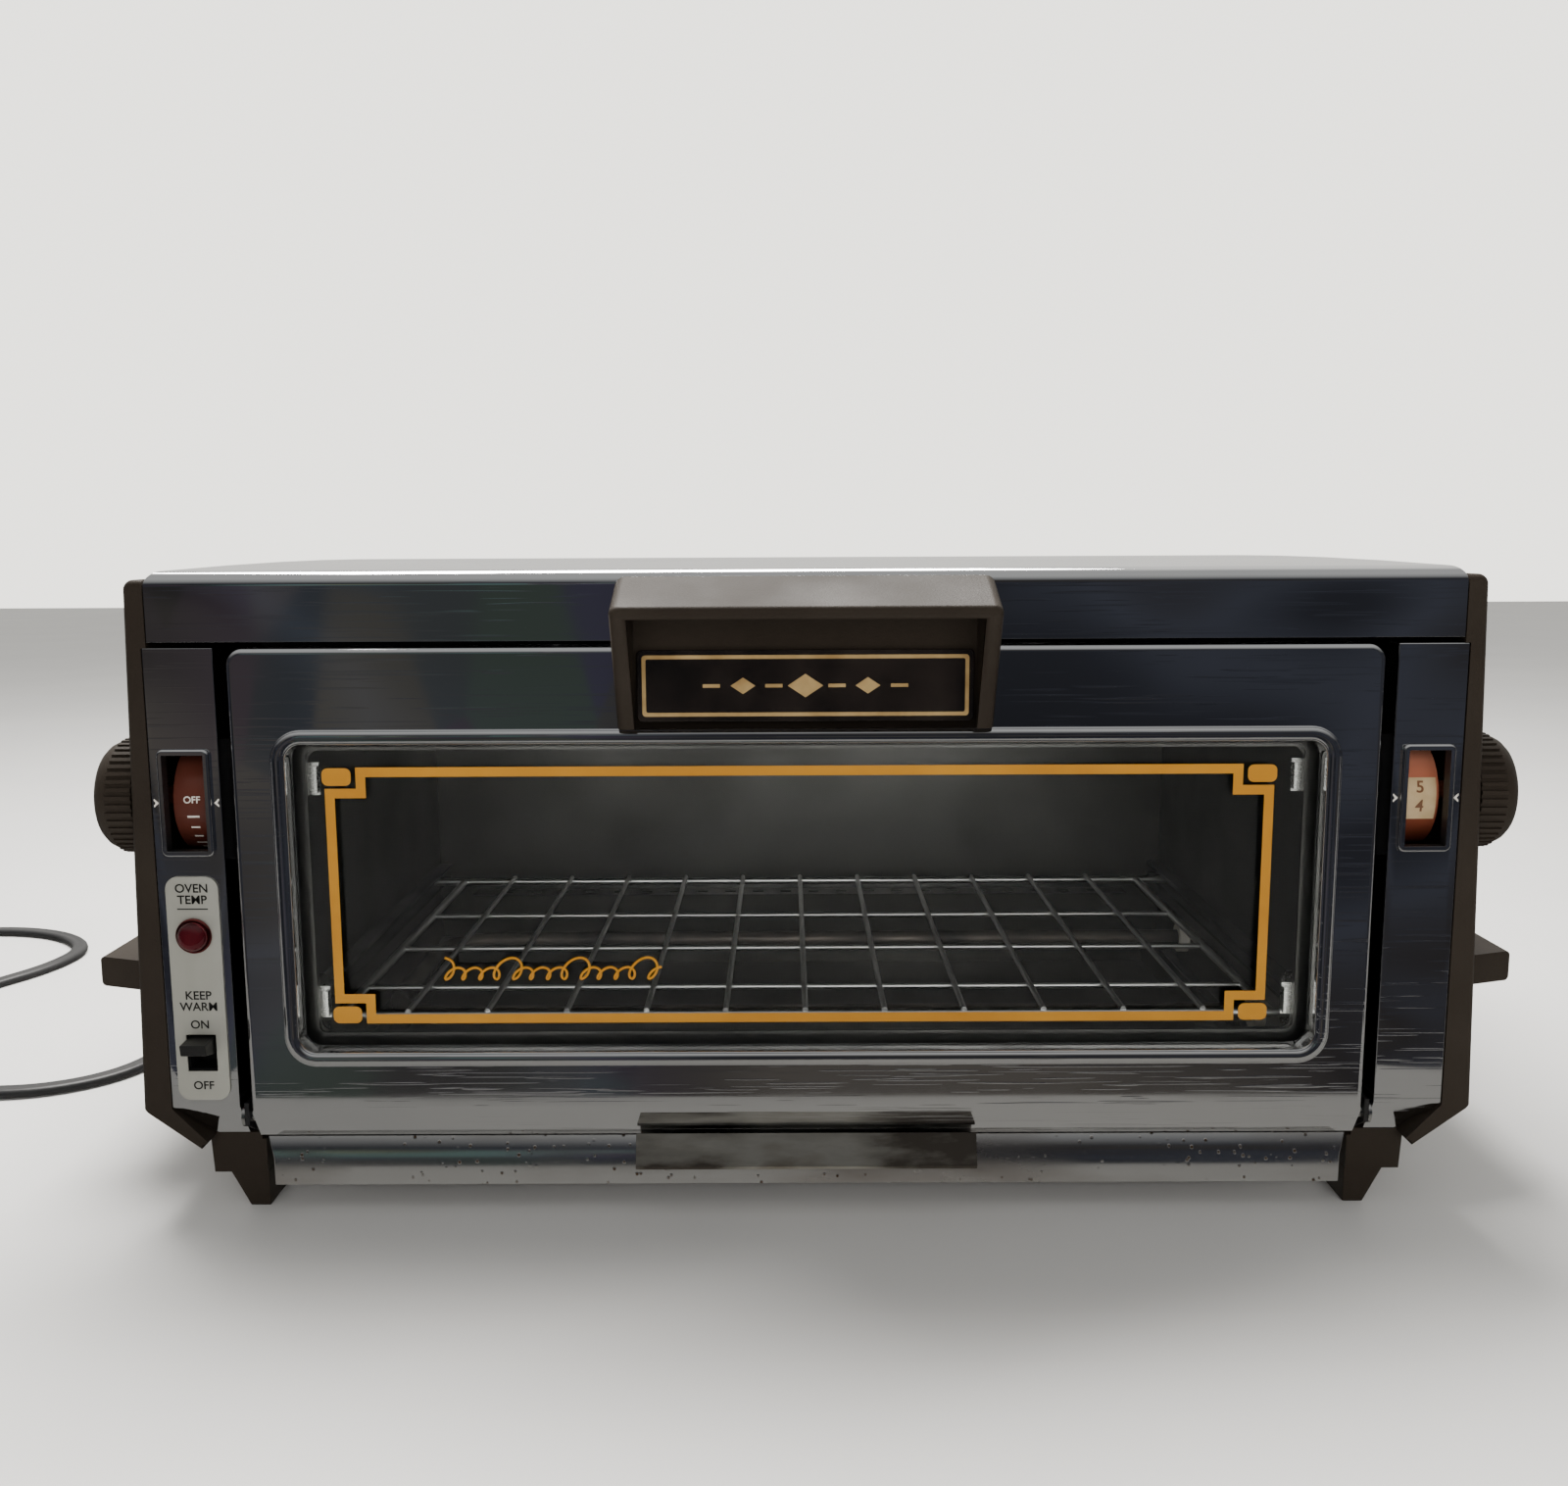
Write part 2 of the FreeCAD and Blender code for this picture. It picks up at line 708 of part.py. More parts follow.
def right_oven_wall():
    """The right wall also carries the four element ends."""
    holes = [rod_x(oven_half - 2, oven_half + 3, y, z, insulator_radius + 0.1)
             for y, z in element_ends()]
    return oven_wall().cut(Part.makeCompound(holes))


def oven_back_wall():
    return box((-oven_half - sheet, oven_half + sheet), (oven_back + 0.1, oven_back + 0.1 + sheet),
               (floor_rail_top, oven_top))


def oven_ceiling():
    """Oven roof with a lip up to the cover along its front."""
    roof = box((-oven_half - sheet, oven_half + sheet), (oven_front, oven_back + sheet),
               (oven_top + 0.1, oven_top + 0.1 + sheet))
    lip = box((-oven_half - sheet, oven_half + sheet), (oven_front, oven_front + sheet),
              (oven_top + 0.1, cover_bottom - 1.0))
    return fuse(roof, lip)


def element_ends():
    """(y, z) of the four element ends in the right wall."""
    upper = [(y, upper_element_height) for y in upper_element_rows]
    lower = [(y, lower_element_height) for y in lower_element_rows]
    return upper + lower


def heating_element(rows, height):
    """Sheathed rod: across the oven, round the far end and back."""
    near, far = rows
    end_x = oven_half + insulator_length
    turn_x = -oven_half + element_inset
    points = [
        Vector(end_x, near, height),
        Vector(turn_x, near, height),
        Vector(turn_x, far, height),
        Vector(end_x, far, height),
    ]
    path = bent_path(points, lambda into, out, half: element_bend * math.tan(half))
    return swept_rod(path, element_radius)


def element_insulators():
    """Four ceramic bushes in the right wall."""
    bushes = []
    for y, z in element_ends():
        start = oven_half - 4
        bush = rod_x(start, start + insulator_length, y, z, insulator_radius)
        bore = rod_x(start - 1, start + insulator_length + 1, y, z, element_radius + 0.1)
        bushes.append(bush.cut(bore))
    return Part.makeCompound(bushes)


def slotted_baffle(front):
    """Bent strip across the oven floor with a row of slots in its top."""
    top = box((-baffle_half, baffle_half), (front, front + baffle_depth),
              (baffle_top - 0.8, baffle_top))
    apron = box((-baffle_half, baffle_half), (front, front + 0.8), (floor_rail_top + 0.1, baffle_top))
    ears = [box((side * (baffle_half - 1), side * (oven_half - 0.5)), (front, front + baffle_depth),
                (floor_rail_top + 0.1, floor_rail_top + 0.9)) for side in (-1, 1)]
    count = int(2 * (baffle_half - 8) / baffle_pitch)
    width, depth = baffle_slot
    middle = front + baffle_depth / 2
    slots = [box((x - width / 2, x + width / 2), (middle - depth / 2, middle + depth / 2),
                 (baffle_top - 3, baffle_top + 1))
             for x in [(i - (count - 1) / 2) * baffle_pitch for i in range(count)]]
    return fuse(top, apron, *ears).cut(Part.makeCompound(slots))


def rack_rail():
    """Right channel that the ends of the rack bars slide in."""
    low = rack_height - rack_bar_radius - moving_gap
    span = (oven_front, oven_back - 1)
    inner = oven_half - rail_width
    web = box((oven_half - rail_sheet - 0.05, oven_half - 0.05), span, (low - rail_sheet, low + rail_room))
    shelf = box((inner, oven_half - 0.5), span, (low - rail_sheet, low))
    guard = box((inner, oven_half - 0.5), span, (low + rail_room - rail_sheet, low + rail_room))
    return fuse(web, shelf, guard)


def oven_rack():
    """Welded wire rack: two end bars, side rods, cross wires and wires front to back."""
    bars = [rod_x(-rack_bar_half, rack_bar_half, y, rack_height, rack_bar_radius)
            for y in (rack_front, rack_back)]
    sides = [rod_y(x, rack_front, rack_back, rack_height, rack_bar_radius)
             for x in (-rack_side, rack_side)]
    crosses = [rod_x(-rack_side, rack_side, y, rack_height, rack_wire_radius)
               for y in rack_cross_rows]
    wire_height = rack_height + rack_bar_radius + rack_wire_radius - 0.9
    wires = [rod_y((i - (rack_wire_count - 1) / 2) * rack_wire_pitch, rack_front - 1,
                   rack_back + 1, wire_height, rack_wire_radius)
             for i in range(rack_wire_count)]
    return fuse(*(bars + sides + crosses + wires))


# ------------------------------------------------------------------ door
def door_solid(inset):
    """Outer or inner surface of the pressed door front as a solid."""
    half = door_half - inset
    back = door_pan if inset == 0 else door_pan + 1
    outline = [
        (-door_front + inset, bevel_top + inset * 0.4),
        (-door_front + inset, front_top - inset),
        (back, front_top - inset),
        (back, front_bottom + inset),
        (bevel_depth - door_front + inset, front_bottom + inset),
    ]
    solid = across(outline, -half, half)
    solid = rounded(solid, door_corner - inset,
                    lambda e: along(e, "y") and e.BoundBox.ZMin > front_top - inset - 0.1)
    return rounded(solid, 1.8 - inset, lambda e: e.BoundBox.YMax < -door_front + inset + 0.1)


def window_ring(outer, inner, y):
    """Rectangular ring round the window, outer and inner measured out from its edge."""
    def slab(grow, depth):
        return rounded_slab((-window_half - grow, window_half + grow), depth,
                            (window_low - grow, window_high + grow), window_corner + grow)
    return slab(outer, y).cut(slab(inner, (y[0] - 1, y[1] + 1)))


def door_frame():
    """Pressed chrome door front with the rolled rim of its window."""
    skin = door_solid(0).cut(door_solid(sheet))
    skin = skin.cut(rounded_slab((-window_half - 0.5, window_half + 0.5), (-6, 3),
                                 (window_low - 0.5, window_high + 0.5), window_corner + 0.5))
    lip = window_ring(rim_width, 0, (-door_front - rim_proud, -door_front + 0.3))
    lip = rounded(lip, 0.6, lambda e: e.BoundBox.YMax < -door_front - rim_proud + 0.1)
    tube = window_ring(rim_wall, 0, (-door_front, rim_back))
    frame = fuse(skin, lip, tube)
    pin = rod_x(-door_half - 1, door_half + 1, hinge_depth, hinge_height,
                hinge_pin_radius + running_gap)
    screws = [rod_y(x, -4, 3, handle_screw_height(), screw_radius + 0.15)
              for x in (-handle_screw_reach, handle_screw_reach)]
    return frame.cut(pin).cut(Part.makeCompound(screws))


def door_glass():
    back = glass_front + glass_thick
    return rounded_slab((-window_half - glass_lap, window_half + glass_lap), (glass_front, back),
                        (window_low - glass_lap, window_high + glass_lap), 3.0)


def door_inner_frame():
    """Steel backing plate: a lip presses the glass against the rolled rim."""
    back = inner_frame_back
    plate = box((-door_half + 1.4, door_half - 1.4), (back - sheet, back),
                (hinge_height + 5, front_top - 1.4))
    opening = rounded_slab((-window_half + inner_frame_lap, window_half - inner_frame_lap),
                           (back - 5, back + 1),
                           (window_low + inner_frame_lap, window_high - inner_frame_lap), 4.0)
    lip = window_ring(-inner_frame_lap + sheet, -inner_frame_lap - 0.01,
                      (glass_front + glass_thick + 0.1, back - 0.2))
    return fuse(plate.cut(opening), lip)


def glass_clips():
    """Four spring clips on the backing plate, one at each corner of the glass."""
    back = inner_frame_back
    clips = []
    for side in (-1, 1):
        for z in (window_low + 12, window_high - 12):
            foot_part = box((side * (window_half + 2), side * (window_half - 6)),
                            (back + 0.1, back + 1.0), (z - 5, z + 5))
            finger = box((side * (window_half - 5.2), side * (window_half - 6)),
                         (glass_front + glass_thick + 0.2, back + 1.0), (z - 4, z + 4))
            clips.append(fuse(foot_part, finger))
    return Part.makeCompound(clips)


def handle_screw_height():
    return (badge_bottom + badge_top) / 2


def door_handle():
    """Brown grip: a back plate, two cheeks and a sloping hood with a lip."""
    rear = -door_front - 0.15
    plate_front = rear - handle_back
    profile = [
        (rear, handle_bottom),
        (rear, handle_top),
        (plate_front, handle_top),
        (-handle_reach, handle_top - handle_slope),
        (-handle_reach, handle_top - handle_slope - handle_lip),
        (plate_front - 2.2, handle_bottom),
    ]
    grip = across(profile, -handle_half, handle_half)
    grip = rounded(grip, 1.6, lambda e: along(e, "x") and e.BoundBox.YMax < plate_front + 0.1
                   and e.BoundBox.ZMin > badge_top)
    grip = rounded(grip, handle_corner, lambda e: e.BoundBox.XLength < 0.1
                   and e.BoundBox.YLength > 10 and e.BoundBox.ZMin > badge_top)
    hollow = [
        (plate_front, handle_bottom - 1),
        (plate_front, handle_top - handle_slope - 1.5),
        (-handle_reach + 2.2, handle_top - handle_slope - 1.9),
        (-handle_reach + 2.2, handle_top - handle_slope - handle_lip - 1),
        (-handle_reach - 2, handle_top - handle_slope - handle_lip - 1),
        (-handle_reach - 2, handle_bottom - 1),
    ]
    inside = handle_half - handle_cheek
    grip = grip.cut(across(hollow, -inside, inside))
    screws = [rod_y(x, rear - 2.0, 0, handle_screw_height(), screw_radius + 0.05)
              for x in (-handle_screw_reach, handle_screw_reach)]
    return grip.cut(Part.makeCompound(screws))


def handle_badge():
    face = -door_front - 0.15 - handle_back - 0.05
    return rounded_slab((-badge_half, badge_half), (face - badge_thick, face),
                        (badge_bottom, badge_top), 1.5)


def handle_screws():
    screws = []
    for x in (-handle_screw_reach, handle_screw_reach):
        shank = rod_y(x, -door_front - 1.8, -door_front + sheet + 0.2, handle_screw_height(),
                      screw_radius)
        head = rod_y(x, -door_front + sheet + 0.05, -door_front + sheet + 2.0,
                     handle_screw_height(), screw_head_radius)
        screws.append(fuse(shank, head))
    return Part.makeCompound(screws)


def bar_in_door(angle):
    """Where the rack's front bar is, seen from the door at this angle (y, z from the hinge)."""
    y = rack_front - hinge_depth - rack_per_radian * angle
    z = rack_height - hinge_height
    return (y * math.cos(angle) + z * math.sin(angle), z * math.cos(angle) - y * math.sin(angle))


def door_arm():
    """Right arm on the door: its curved slot carries the rack's front bar along."""
    steps = 12
    turns = [math.radians(door_swing) * step / steps for step in range(steps + 1)]
    route = [(hinge_depth + y, hinge_height + z) for y, z in map(bar_in_door, turns)]
    reach = rack_bar_radius + moving_gap
    margin = reach + arm_margin
    low = min(z for y, z in route) - margin
    high = max(z for y, z in route) + margin
    back = max(y for y, z in route) + margin
    front = inner_frame_back + 0.15
    plate = box((arm_reach, arm_reach + arm_sheet), (front, back), (low, high))
    plate = rounded(plate, 5.0, lambda e: along(e, "x") and e.BoundBox.YMin > back - 0.1)
    tab = box((arm_reach, arm_reach + 7.5), (front, front + 1.2), (low, high))
    slots = []
    for (y1, z1), (y2, z2) in zip(route, route[1:]):
        slots.append(rod_x(arm_reach - 1, arm_reach + arm_sheet + 1, y1, z1, reach))
        length = math.hypot(y2 - y1, z2 - z1)
        run = box((arm_reach - 1, arm_reach + arm_sheet + 1), (0, length), (-reach, reach))
        run.rotate(Vector(0, 0, 0), Vector(1, 0, 0), math.degrees(math.atan2(z2 - z1, y2 - y1)))
        run.translate(Vector(0, y1, z1))
        slots.append(run)
    slots.append(rod_x(arm_reach - 1, arm_reach + arm_sheet + 1, *route[-1], reach))
    return fuse(plate, tab).cut(fuse(*slots))


# ------------------------------------------------------------------ crumb tray
def crumb_tray_front():
    """Folded chrome rail: an upper slope, an upright face and ends cut on a slant."""
    outline = [
        (tray_front + 3.2, tray_top),
        (tray_front, tray_fold),
        (tray_front, tray_bottom),
        (tray_front + 3.6, tray_bottom),
        (tray_front + 3.6, tray_bottom + sheet),
        (tray_front + sheet, tray_bottom + sheet),
        (tray_front + sheet, tray_fold),
        (tray_front + 3.2 + sheet, tray_top),
    ]
    rail = across(outline, -tray_half, tray_half)
    for side in (-1, 1):
        slant = [
            (side * tray_half, tray_top + 0.1),
            (side * tray_foot_half, tray_fold),
            (side * tray_foot_half, tray_bottom - 1),
            (side * (tray_half + 2), tray_bottom - 1),
            (side * (tray_half + 2), tray_top + 0.1),
        ]
        rail = rail.cut(backward(slant, -5, 20))
    return rail


def crumb_tray_pan():
    """Shallow pan with side rims that slide on the base rails."""
    front = tray_front + 4.6
    outer = box((-pan_half, pan_half), (front, pan_back), (pan_bottom, pan_rim))
    inside = box((-pan_half + sheet, pan_half - sheet), (front + sheet, pan_back - sheet),
                 (pan_bottom + sheet, pan_rim + 1))
    pan = outer.cut(inside)
    rims = [box((side * (pan_half - 0.5), side * (block_inner - 2.8)), (oven_front + 1, pan_back),
                (pan_rim - sheet, pan_rim)) for side in (-1, 1)]
    return fuse(pan, *rims)


def crumb_tray_tab():
    """Pull tab: one leg leaves the rail, the other slopes up and back in front of it."""
    seat = tray_front - 0.15
    fold = tray_front - tab_reach
    outline = [
        (seat, tab_low),
        (fold + 0.4, tab_low + 0.6),
        (fold, tab_low + 1.6),
        (tray_front - tab_lean, tab_top),
        (tray_front - tab_lean + tab_sheet, tab_top - 0.4),
        (fold + tab_sheet + 0.3, tab_low + 0.6 + tab_sheet),
        (seat, tab_low + tab_sheet),
    ]
    return across(outline, -tab_half, tab_half)


# ------------------------------------------------------------------ cord
def terminal_block():
    """Block inside the back of the left end where the cord is joined to the wiring."""
    return box((-oven_half - 22, -oven_half - 4), (oven_back - 30, oven_back),
               (floor_rail_top + 2.0, floor_rail_top + 16))


def cord_strain_relief():
    """Bush through the back panel with a tapered boot round the cord."""
    x, z = cord_exit
    flange = rod_y(x, body_depth + 0.05, body_depth + 2.5, z, relief_radius)
    neck = rod_y(x, body_depth - sheet - 3, body_depth + 0.2, z, relief_radius - 2)
    boot = Part.makeCone(relief_radius - 1, cord_radius + 1.2, relief_length - 2.5,
                         Vector(x, body_depth + 2.4, z), Vector(0, 1, 0))
    bore = rod_y(x, body_depth - 10, body_depth + relief_length + 1, z, cord_radius + 0.05)
    return fuse(flange, neck, boot).cut(bore)


def cord_route():
    """Along the floor beside the left end, out, a hairpin, and back to the coil."""
    x, z = cord_exit
    floor = cord_radius + 0.2
    return [
        Vector(x, body_depth - 4, z),
        Vector(x, body_depth + 19, z),
        Vector(x - 9, body_depth + 38, z - 8),
        Vector(x - 27, body_depth + 51, z - 21),
        Vector(x - 51, body_depth + 52, floor + 1),
        Vector(-228, 284, floor),
        Vector(-246, 258, floor),
        Vector(-256, 224, floor),
        Vector(-259, 186, floor),
        Vector(-256, 148, floor),
        Vector(-262, 116, floor),
        Vector(-284, 98, floor),
        Vector(-314, 95, floor),
        Vector(-348, 102, floor),
        Vector(-378, 122, floor),
        Vector(-394, 154, floor),
        Vector(-392, 190, floor),
        Vector(-380, 224, floor),
        Vector(-364, 254, floor),
        Vector(-362, 286, floor),
        Vector(-384, 310, floor),
        Vector(-416, 322, floor),
        Vector(-450, 317, floor),
        Vector(-480, 299, floor),
    ]


def power_cord():
    points = cord_route()
    path = bent_path(points, lambda into, out, half: 0.45 * min(into.Length, out.Length))
    radii = [round(edge.Curve.Radius, 1) for edge in path.Edges if hasattr(edge.Curve, "Radius")]
    tube = swept_rod(path, cord_radius)
    expected = math.pi * cord_radius ** 2 * path.Length
    print("cord: length", round(path.Length, 1), "least radius", min(radii), "radii", radii)
    print("cord: volume over section times length", round(tube.Volume / expected, 4))
    return tube


def coil_centre():
    """The end of the route runs into the coil along its outer turn."""
    before, last = cord_route()[-2:]
    heading = (last - before).normalize()
    reach = coil_radius - 1.5 * cord_radius
    return Vector(last.x - heading.y * reach, last.y + heading.x * reach, 0)


def power_cord_coil():
    """Outer shape of the coiled rest of the cord, lying flat."""
    ring = Part.makeCylinder(coil_radius, coil_height, coil_centre())
    hole = Part.makeCylinder(coil_hole, coil_height + 2, coil_centre() - Vector(0, 0, 1))
    return rounded(ring.cut(hole), 4.0, lambda e: e.BoundBox.XLength > coil_hole)


def plug_back():
    """Middle of the plug's back face: where the coil's last turn leads straight forward."""
    centre = coil_centre()
    return Vector(centre.x - coil_radius + 1.5 * cord_radius, centre.y - coil_radius + 6, 0)


def power_plug():
    """Moulded two-blade plug lying beside the coil, with its tail running into the coil."""
    length, width, height = plug_size
    back = plug_back()
    body = box((back.x - width / 2, back.x + width / 2), (back.y - length, back.y), (0.1, height))
    body = rounded(body, 3.0, lambda e: along(e, "y"))
    tail = rod_y(back.x, back.y - 2, back.y + 21, coil_height / 2, cord_radius)
    return fuse(body, tail)


def plug_blades():
    length, width, height = plug_size
    back = plug_back()
    front = back.y - length
    blades = [box((x - 0.8, x + 0.8), (front - 15, front - 0.05), (height / 2 - 3.2, height / 2 + 3.2))
              for x in (back.x - 6.35, back.x + 6.35)]
    return Part.makeCompound(blades)


# ------------------------------------------------------------------ build
def build():
    os.makedirs("parts", exist_ok=True)
    save_pair("end_panel", end_panel())
    for place, (x, y) in zip(("front", "rear"), foot_places()):
        save_pair("foot_" + place, foot(x, y))
    save("top_cover", top_cover())
    save("back_panel", back_panel())
    save_pair("rear_bumper", rear_bumper(bumper_reach))
    save("base_frame", base_frame())
    save_pair("hinge_pin", hinge_pin())

    save("control_strip_right", control_strip())
    save("control_strip_left", left_strip())
    save_pair("window_bezel", window_bezel())
    save("control_label_plate", control_label_plate())
    save("pilot_lamp_lens", pilot_lamp_lens())
    save("pilot_lamp_bulb", pilot_lamp_bulb())
    save("keep_warm_switch_body", keep_warm_switch_body())
    save("keep_warm_slider", keep_warm_slider())
    save("toast_control_body", control_body())
    save("thermostat_body", other_side(control_body()))
    save("toast_drum", dial_drum())
    save("temperature_drum", other_side(dial_drum()))
    save("toast_knob", dial_knob())
    save("temperature_knob", other_side(dial_knob()))

    save("oven_wall_right", right_oven_wall())
    save("oven_wall_left", other_side(oven_wall()))
    save("oven_back_wall", oven_back_wall())
    save("oven_ceiling", oven_ceiling())
    save("upper_element", heating_element(upper_element_rows, upper_element_height))
    save("lower_element", heating_element(lower_element_rows, lower_element_height))
    save("element_insulators", element_insulators())
    save("baffle_front", slotted_baffle(oven_front + 0.8))
    save("baffle_rear", slotted_baffle(oven_back - 1 - baffle_depth))
    save_pair("rack_rail", rack_rail())
    save("oven_rack", oven_rack())

    save("door_frame", door_frame())
    save("door_glass", door_glass())
    save("door_inner_frame", door_inner_frame())
    save("glass_clips", glass_clips())
    save("door_handle", door_handle())
    save("handle_badge", handle_badge())
    save("handle_screws", handle_screws())
    save_pair("door_arm", door_arm())

    save("crumb_tray_front", crumb_tray_front())
    save("crumb_tray_pan", crumb_tray_pan())
    save("crumb_tray_tab", crumb_tray_tab())

    save("terminal_block", terminal_block())
    save("cord_strain_relief", cord_strain_relief())
    save("power_cord", power_cord())
    save("power_cord_coil", power_cord_coil())
    save("power_plug", power_plug())
    save("plug_blades", plug_blades())


build()
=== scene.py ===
import json
import math

import bmesh
import bpy
from mathutils import Matrix, Vector

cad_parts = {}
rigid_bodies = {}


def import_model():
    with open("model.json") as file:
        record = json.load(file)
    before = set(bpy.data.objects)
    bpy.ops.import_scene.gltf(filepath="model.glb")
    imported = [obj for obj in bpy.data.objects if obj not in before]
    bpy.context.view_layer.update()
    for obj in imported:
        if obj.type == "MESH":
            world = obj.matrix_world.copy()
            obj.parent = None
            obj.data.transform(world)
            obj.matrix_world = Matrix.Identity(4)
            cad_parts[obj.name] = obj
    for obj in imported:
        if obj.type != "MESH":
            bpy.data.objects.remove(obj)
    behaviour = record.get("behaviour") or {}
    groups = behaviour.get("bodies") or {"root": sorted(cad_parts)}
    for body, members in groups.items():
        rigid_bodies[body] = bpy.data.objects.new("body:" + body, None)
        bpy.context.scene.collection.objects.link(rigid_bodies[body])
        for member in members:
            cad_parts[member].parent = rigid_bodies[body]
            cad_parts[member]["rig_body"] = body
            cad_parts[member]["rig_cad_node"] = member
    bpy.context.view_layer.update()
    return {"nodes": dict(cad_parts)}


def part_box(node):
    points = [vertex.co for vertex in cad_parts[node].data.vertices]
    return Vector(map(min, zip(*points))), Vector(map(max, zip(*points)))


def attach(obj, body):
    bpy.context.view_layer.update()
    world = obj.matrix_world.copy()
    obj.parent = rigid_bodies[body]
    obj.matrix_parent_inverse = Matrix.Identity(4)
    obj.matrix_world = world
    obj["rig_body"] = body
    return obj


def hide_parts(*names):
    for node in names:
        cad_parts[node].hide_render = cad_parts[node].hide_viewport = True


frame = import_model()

bpy.ops.object.select_all(action="DESELECT")
mm = 0.001

# ---- Camera
# It stands low in front of the oven, turned and rolled a fraction of a degree,
# with a wide lens held close.
camera_place = Vector((-5.27, -529.67, 206.41)) * mm
look_down = math.radians(8.163)
turn_left = math.radians(0.138)
camera_roll = math.radians(-0.268)
bpy.ops.object.camera_add()
camera = bpy.context.object
camera.name = "camera"
camera.data.sensor_fit = "HORIZONTAL"
camera.data.sensor_width = 36.0
camera.data.lens = 32.625
camera.data.clip_start = 0.01
camera.matrix_world = (
    Matrix.Translation(camera_place)
    @ Matrix.Rotation(turn_left, 4, "Z")
    @ Matrix.Rotation(math.radians(90) - look_down, 4, "X")
    @ Matrix.Rotation(camera_roll, 4, "Z")
)
bpy.context.scene.camera = camera


# ---- Floor and light
# A pale worktop, a large soft light above and behind, a weak soft one in front, and
# a dim room in front that only the chrome sees.
def new_material(name, fixed=()):
    """Material with its constant shader values: the material, its tree and its shader."""
    material = bpy.data.materials.new(name)
    material.use_nodes = True
    tree = material.node_tree
    surface = tree.nodes["Principled BSDF"]
    for key, value in fixed:
        surface.inputs[key].default_value = value
    return material, tree, surface


def join(tree, *pairs):
    """Link (output socket, input socket) pairs."""
    for start, end in pairs:
        tree.links.new(start, end)


def add_ramp(tree, value, stops):
    """Colour ramp on a value, with (position, grey or colour) stops."""
    ramp = tree.nodes.new("ShaderNodeValToRGB")
    elements = ramp.color_ramp.elements
    while len(elements) < len(stops):
        elements.new(0.5)
    for element, (position, colour) in zip(elements, stops):
        element.position = position
        element.color = (*colour, 1) if hasattr(colour, "__len__") else (colour, colour, colour, 1)
    tree.links.new(value, ramp.inputs["Fac"])
    return ramp.outputs["Color"]


def add_noise(tree, place, scale, detail=3.0, stretch=(1, 1, 1), turn=(0, 0, 0)):
    """Noise over a place in metres, stretched and turned first."""
    mapping = tree.nodes.new("ShaderNodeMapping")
    mapping.inputs["Scale"].default_value = stretch
    mapping.inputs["Rotation"].default_value = turn
    noise = tree.nodes.new("ShaderNodeTexNoise")
    noise.inputs["Scale"].default_value = scale
    noise.inputs["Detail"].default_value = detail
    join(tree, (place, mapping.inputs["Vector"]),
         (mapping.outputs["Vector"], noise.inputs["Vector"]))
    return noise.outputs["Fac"]


def object_place(tree):
    return tree.nodes.new("ShaderNodeTexCoord").outputs["Object"]


def feed(tree, socket, value):
    """Link an output to a socket, or set the socket to a constant."""
    if isinstance(value, bpy.types.NodeSocket):
        tree.links.new(value, socket)
    else:
        socket.default_value = value


def add_math(tree, operation, *values):
    node = tree.nodes.new("ShaderNodeMath")
    node.operation = operation
    for socket, value in zip(node.inputs, values):
        feed(tree, socket, value)
    return node.outputs[0]


def add_mix(tree, share, first, second):
    """Colour between two colours."""
    mix = tree.nodes.new("ShaderNodeMix")
    mix.data_type = "RGBA"
    for key, value in (("Factor", share), ("A", first), ("B", second)):
        feed(tree, mix.inputs[key], value)
    return mix.outputs["Result"]


def mottled(name, scale, detail, colours, roughness, fixed=(), stretch=(1, 1, 1)):
    """Material whose colour, and roughness if it is given as stops, follow one noise."""
    material, tree, surface = new_material(name, fixed)
    patches = add_noise(tree, object_place(tree), scale, detail, stretch)
    join(tree, (add_ramp(tree, patches, colours), surface.inputs["Base Color"]))
    if isinstance(roughness, list):
        roughness = add_ramp(tree, patches, roughness)
    feed(tree, surface.inputs["Roughness"], roughness)
    return material


metal = (("Metallic", 1.0),)
floor_material = mottled("pale_worktop", 6.0, 4.0,
                         [(0.3, (0.80, 0.795, 0.78)), (0.75, (0.84, 0.835, 0.82))],
                         0.5, (("Specular IOR Level", 0.35),))
bpy.ops.mesh.primitive_plane_add(size=8, location=(0, 0, 0))
floor = bpy.context.object
floor.name = "worktop"
floor.data.materials.append(floor_material)
floor.visible_glossy = False

bpy.ops.mesh.primitive_plane_add(size=1, location=(0, 1.0, -0.0004))
near_floor = bpy.context.object
near_floor.name = "worktop_seen_in_chrome"
near_floor.scale = (3.2, 2.43, 1)
bpy.ops.object.transform_apply(location=True, rotation=True, scale=True)
near_floor.data.materials.append(floor_material)
near_floor.visible_camera = False
near_floor.visible_diffuse = False
near_floor.visible_shadow = False
near_floor.visible_transmission = False


def add_soft_light(name, place, aim, size, power, colour, glossy=True):
    bpy.ops.object.light_add(type="AREA", location=place)
    light = bpy.context.object
    light.name = name
    light.data.shape = "RECTANGLE"
    light.data.size, light.data.size_y = size
    light.data.energy = power
    light.data.color = colour
    light.rotation_euler = (Vector(aim) - Vector(place)).to_track_quat("-Z", "Y").to_euler()
    light.visible_glossy = glossy


add_soft_light("top_light", (-0.15, 0.35, 1.15), (0, 0.05, 0.1), (0.9, 0.5), 44.0, (1.0, 0.975, 0.94))
add_soft_light("front_fill", (0.15, -1.25, 0.42), (0, 0, 0.1), (1.4, 0.5), 7.0, (1.0, 0.98, 0.96), False)

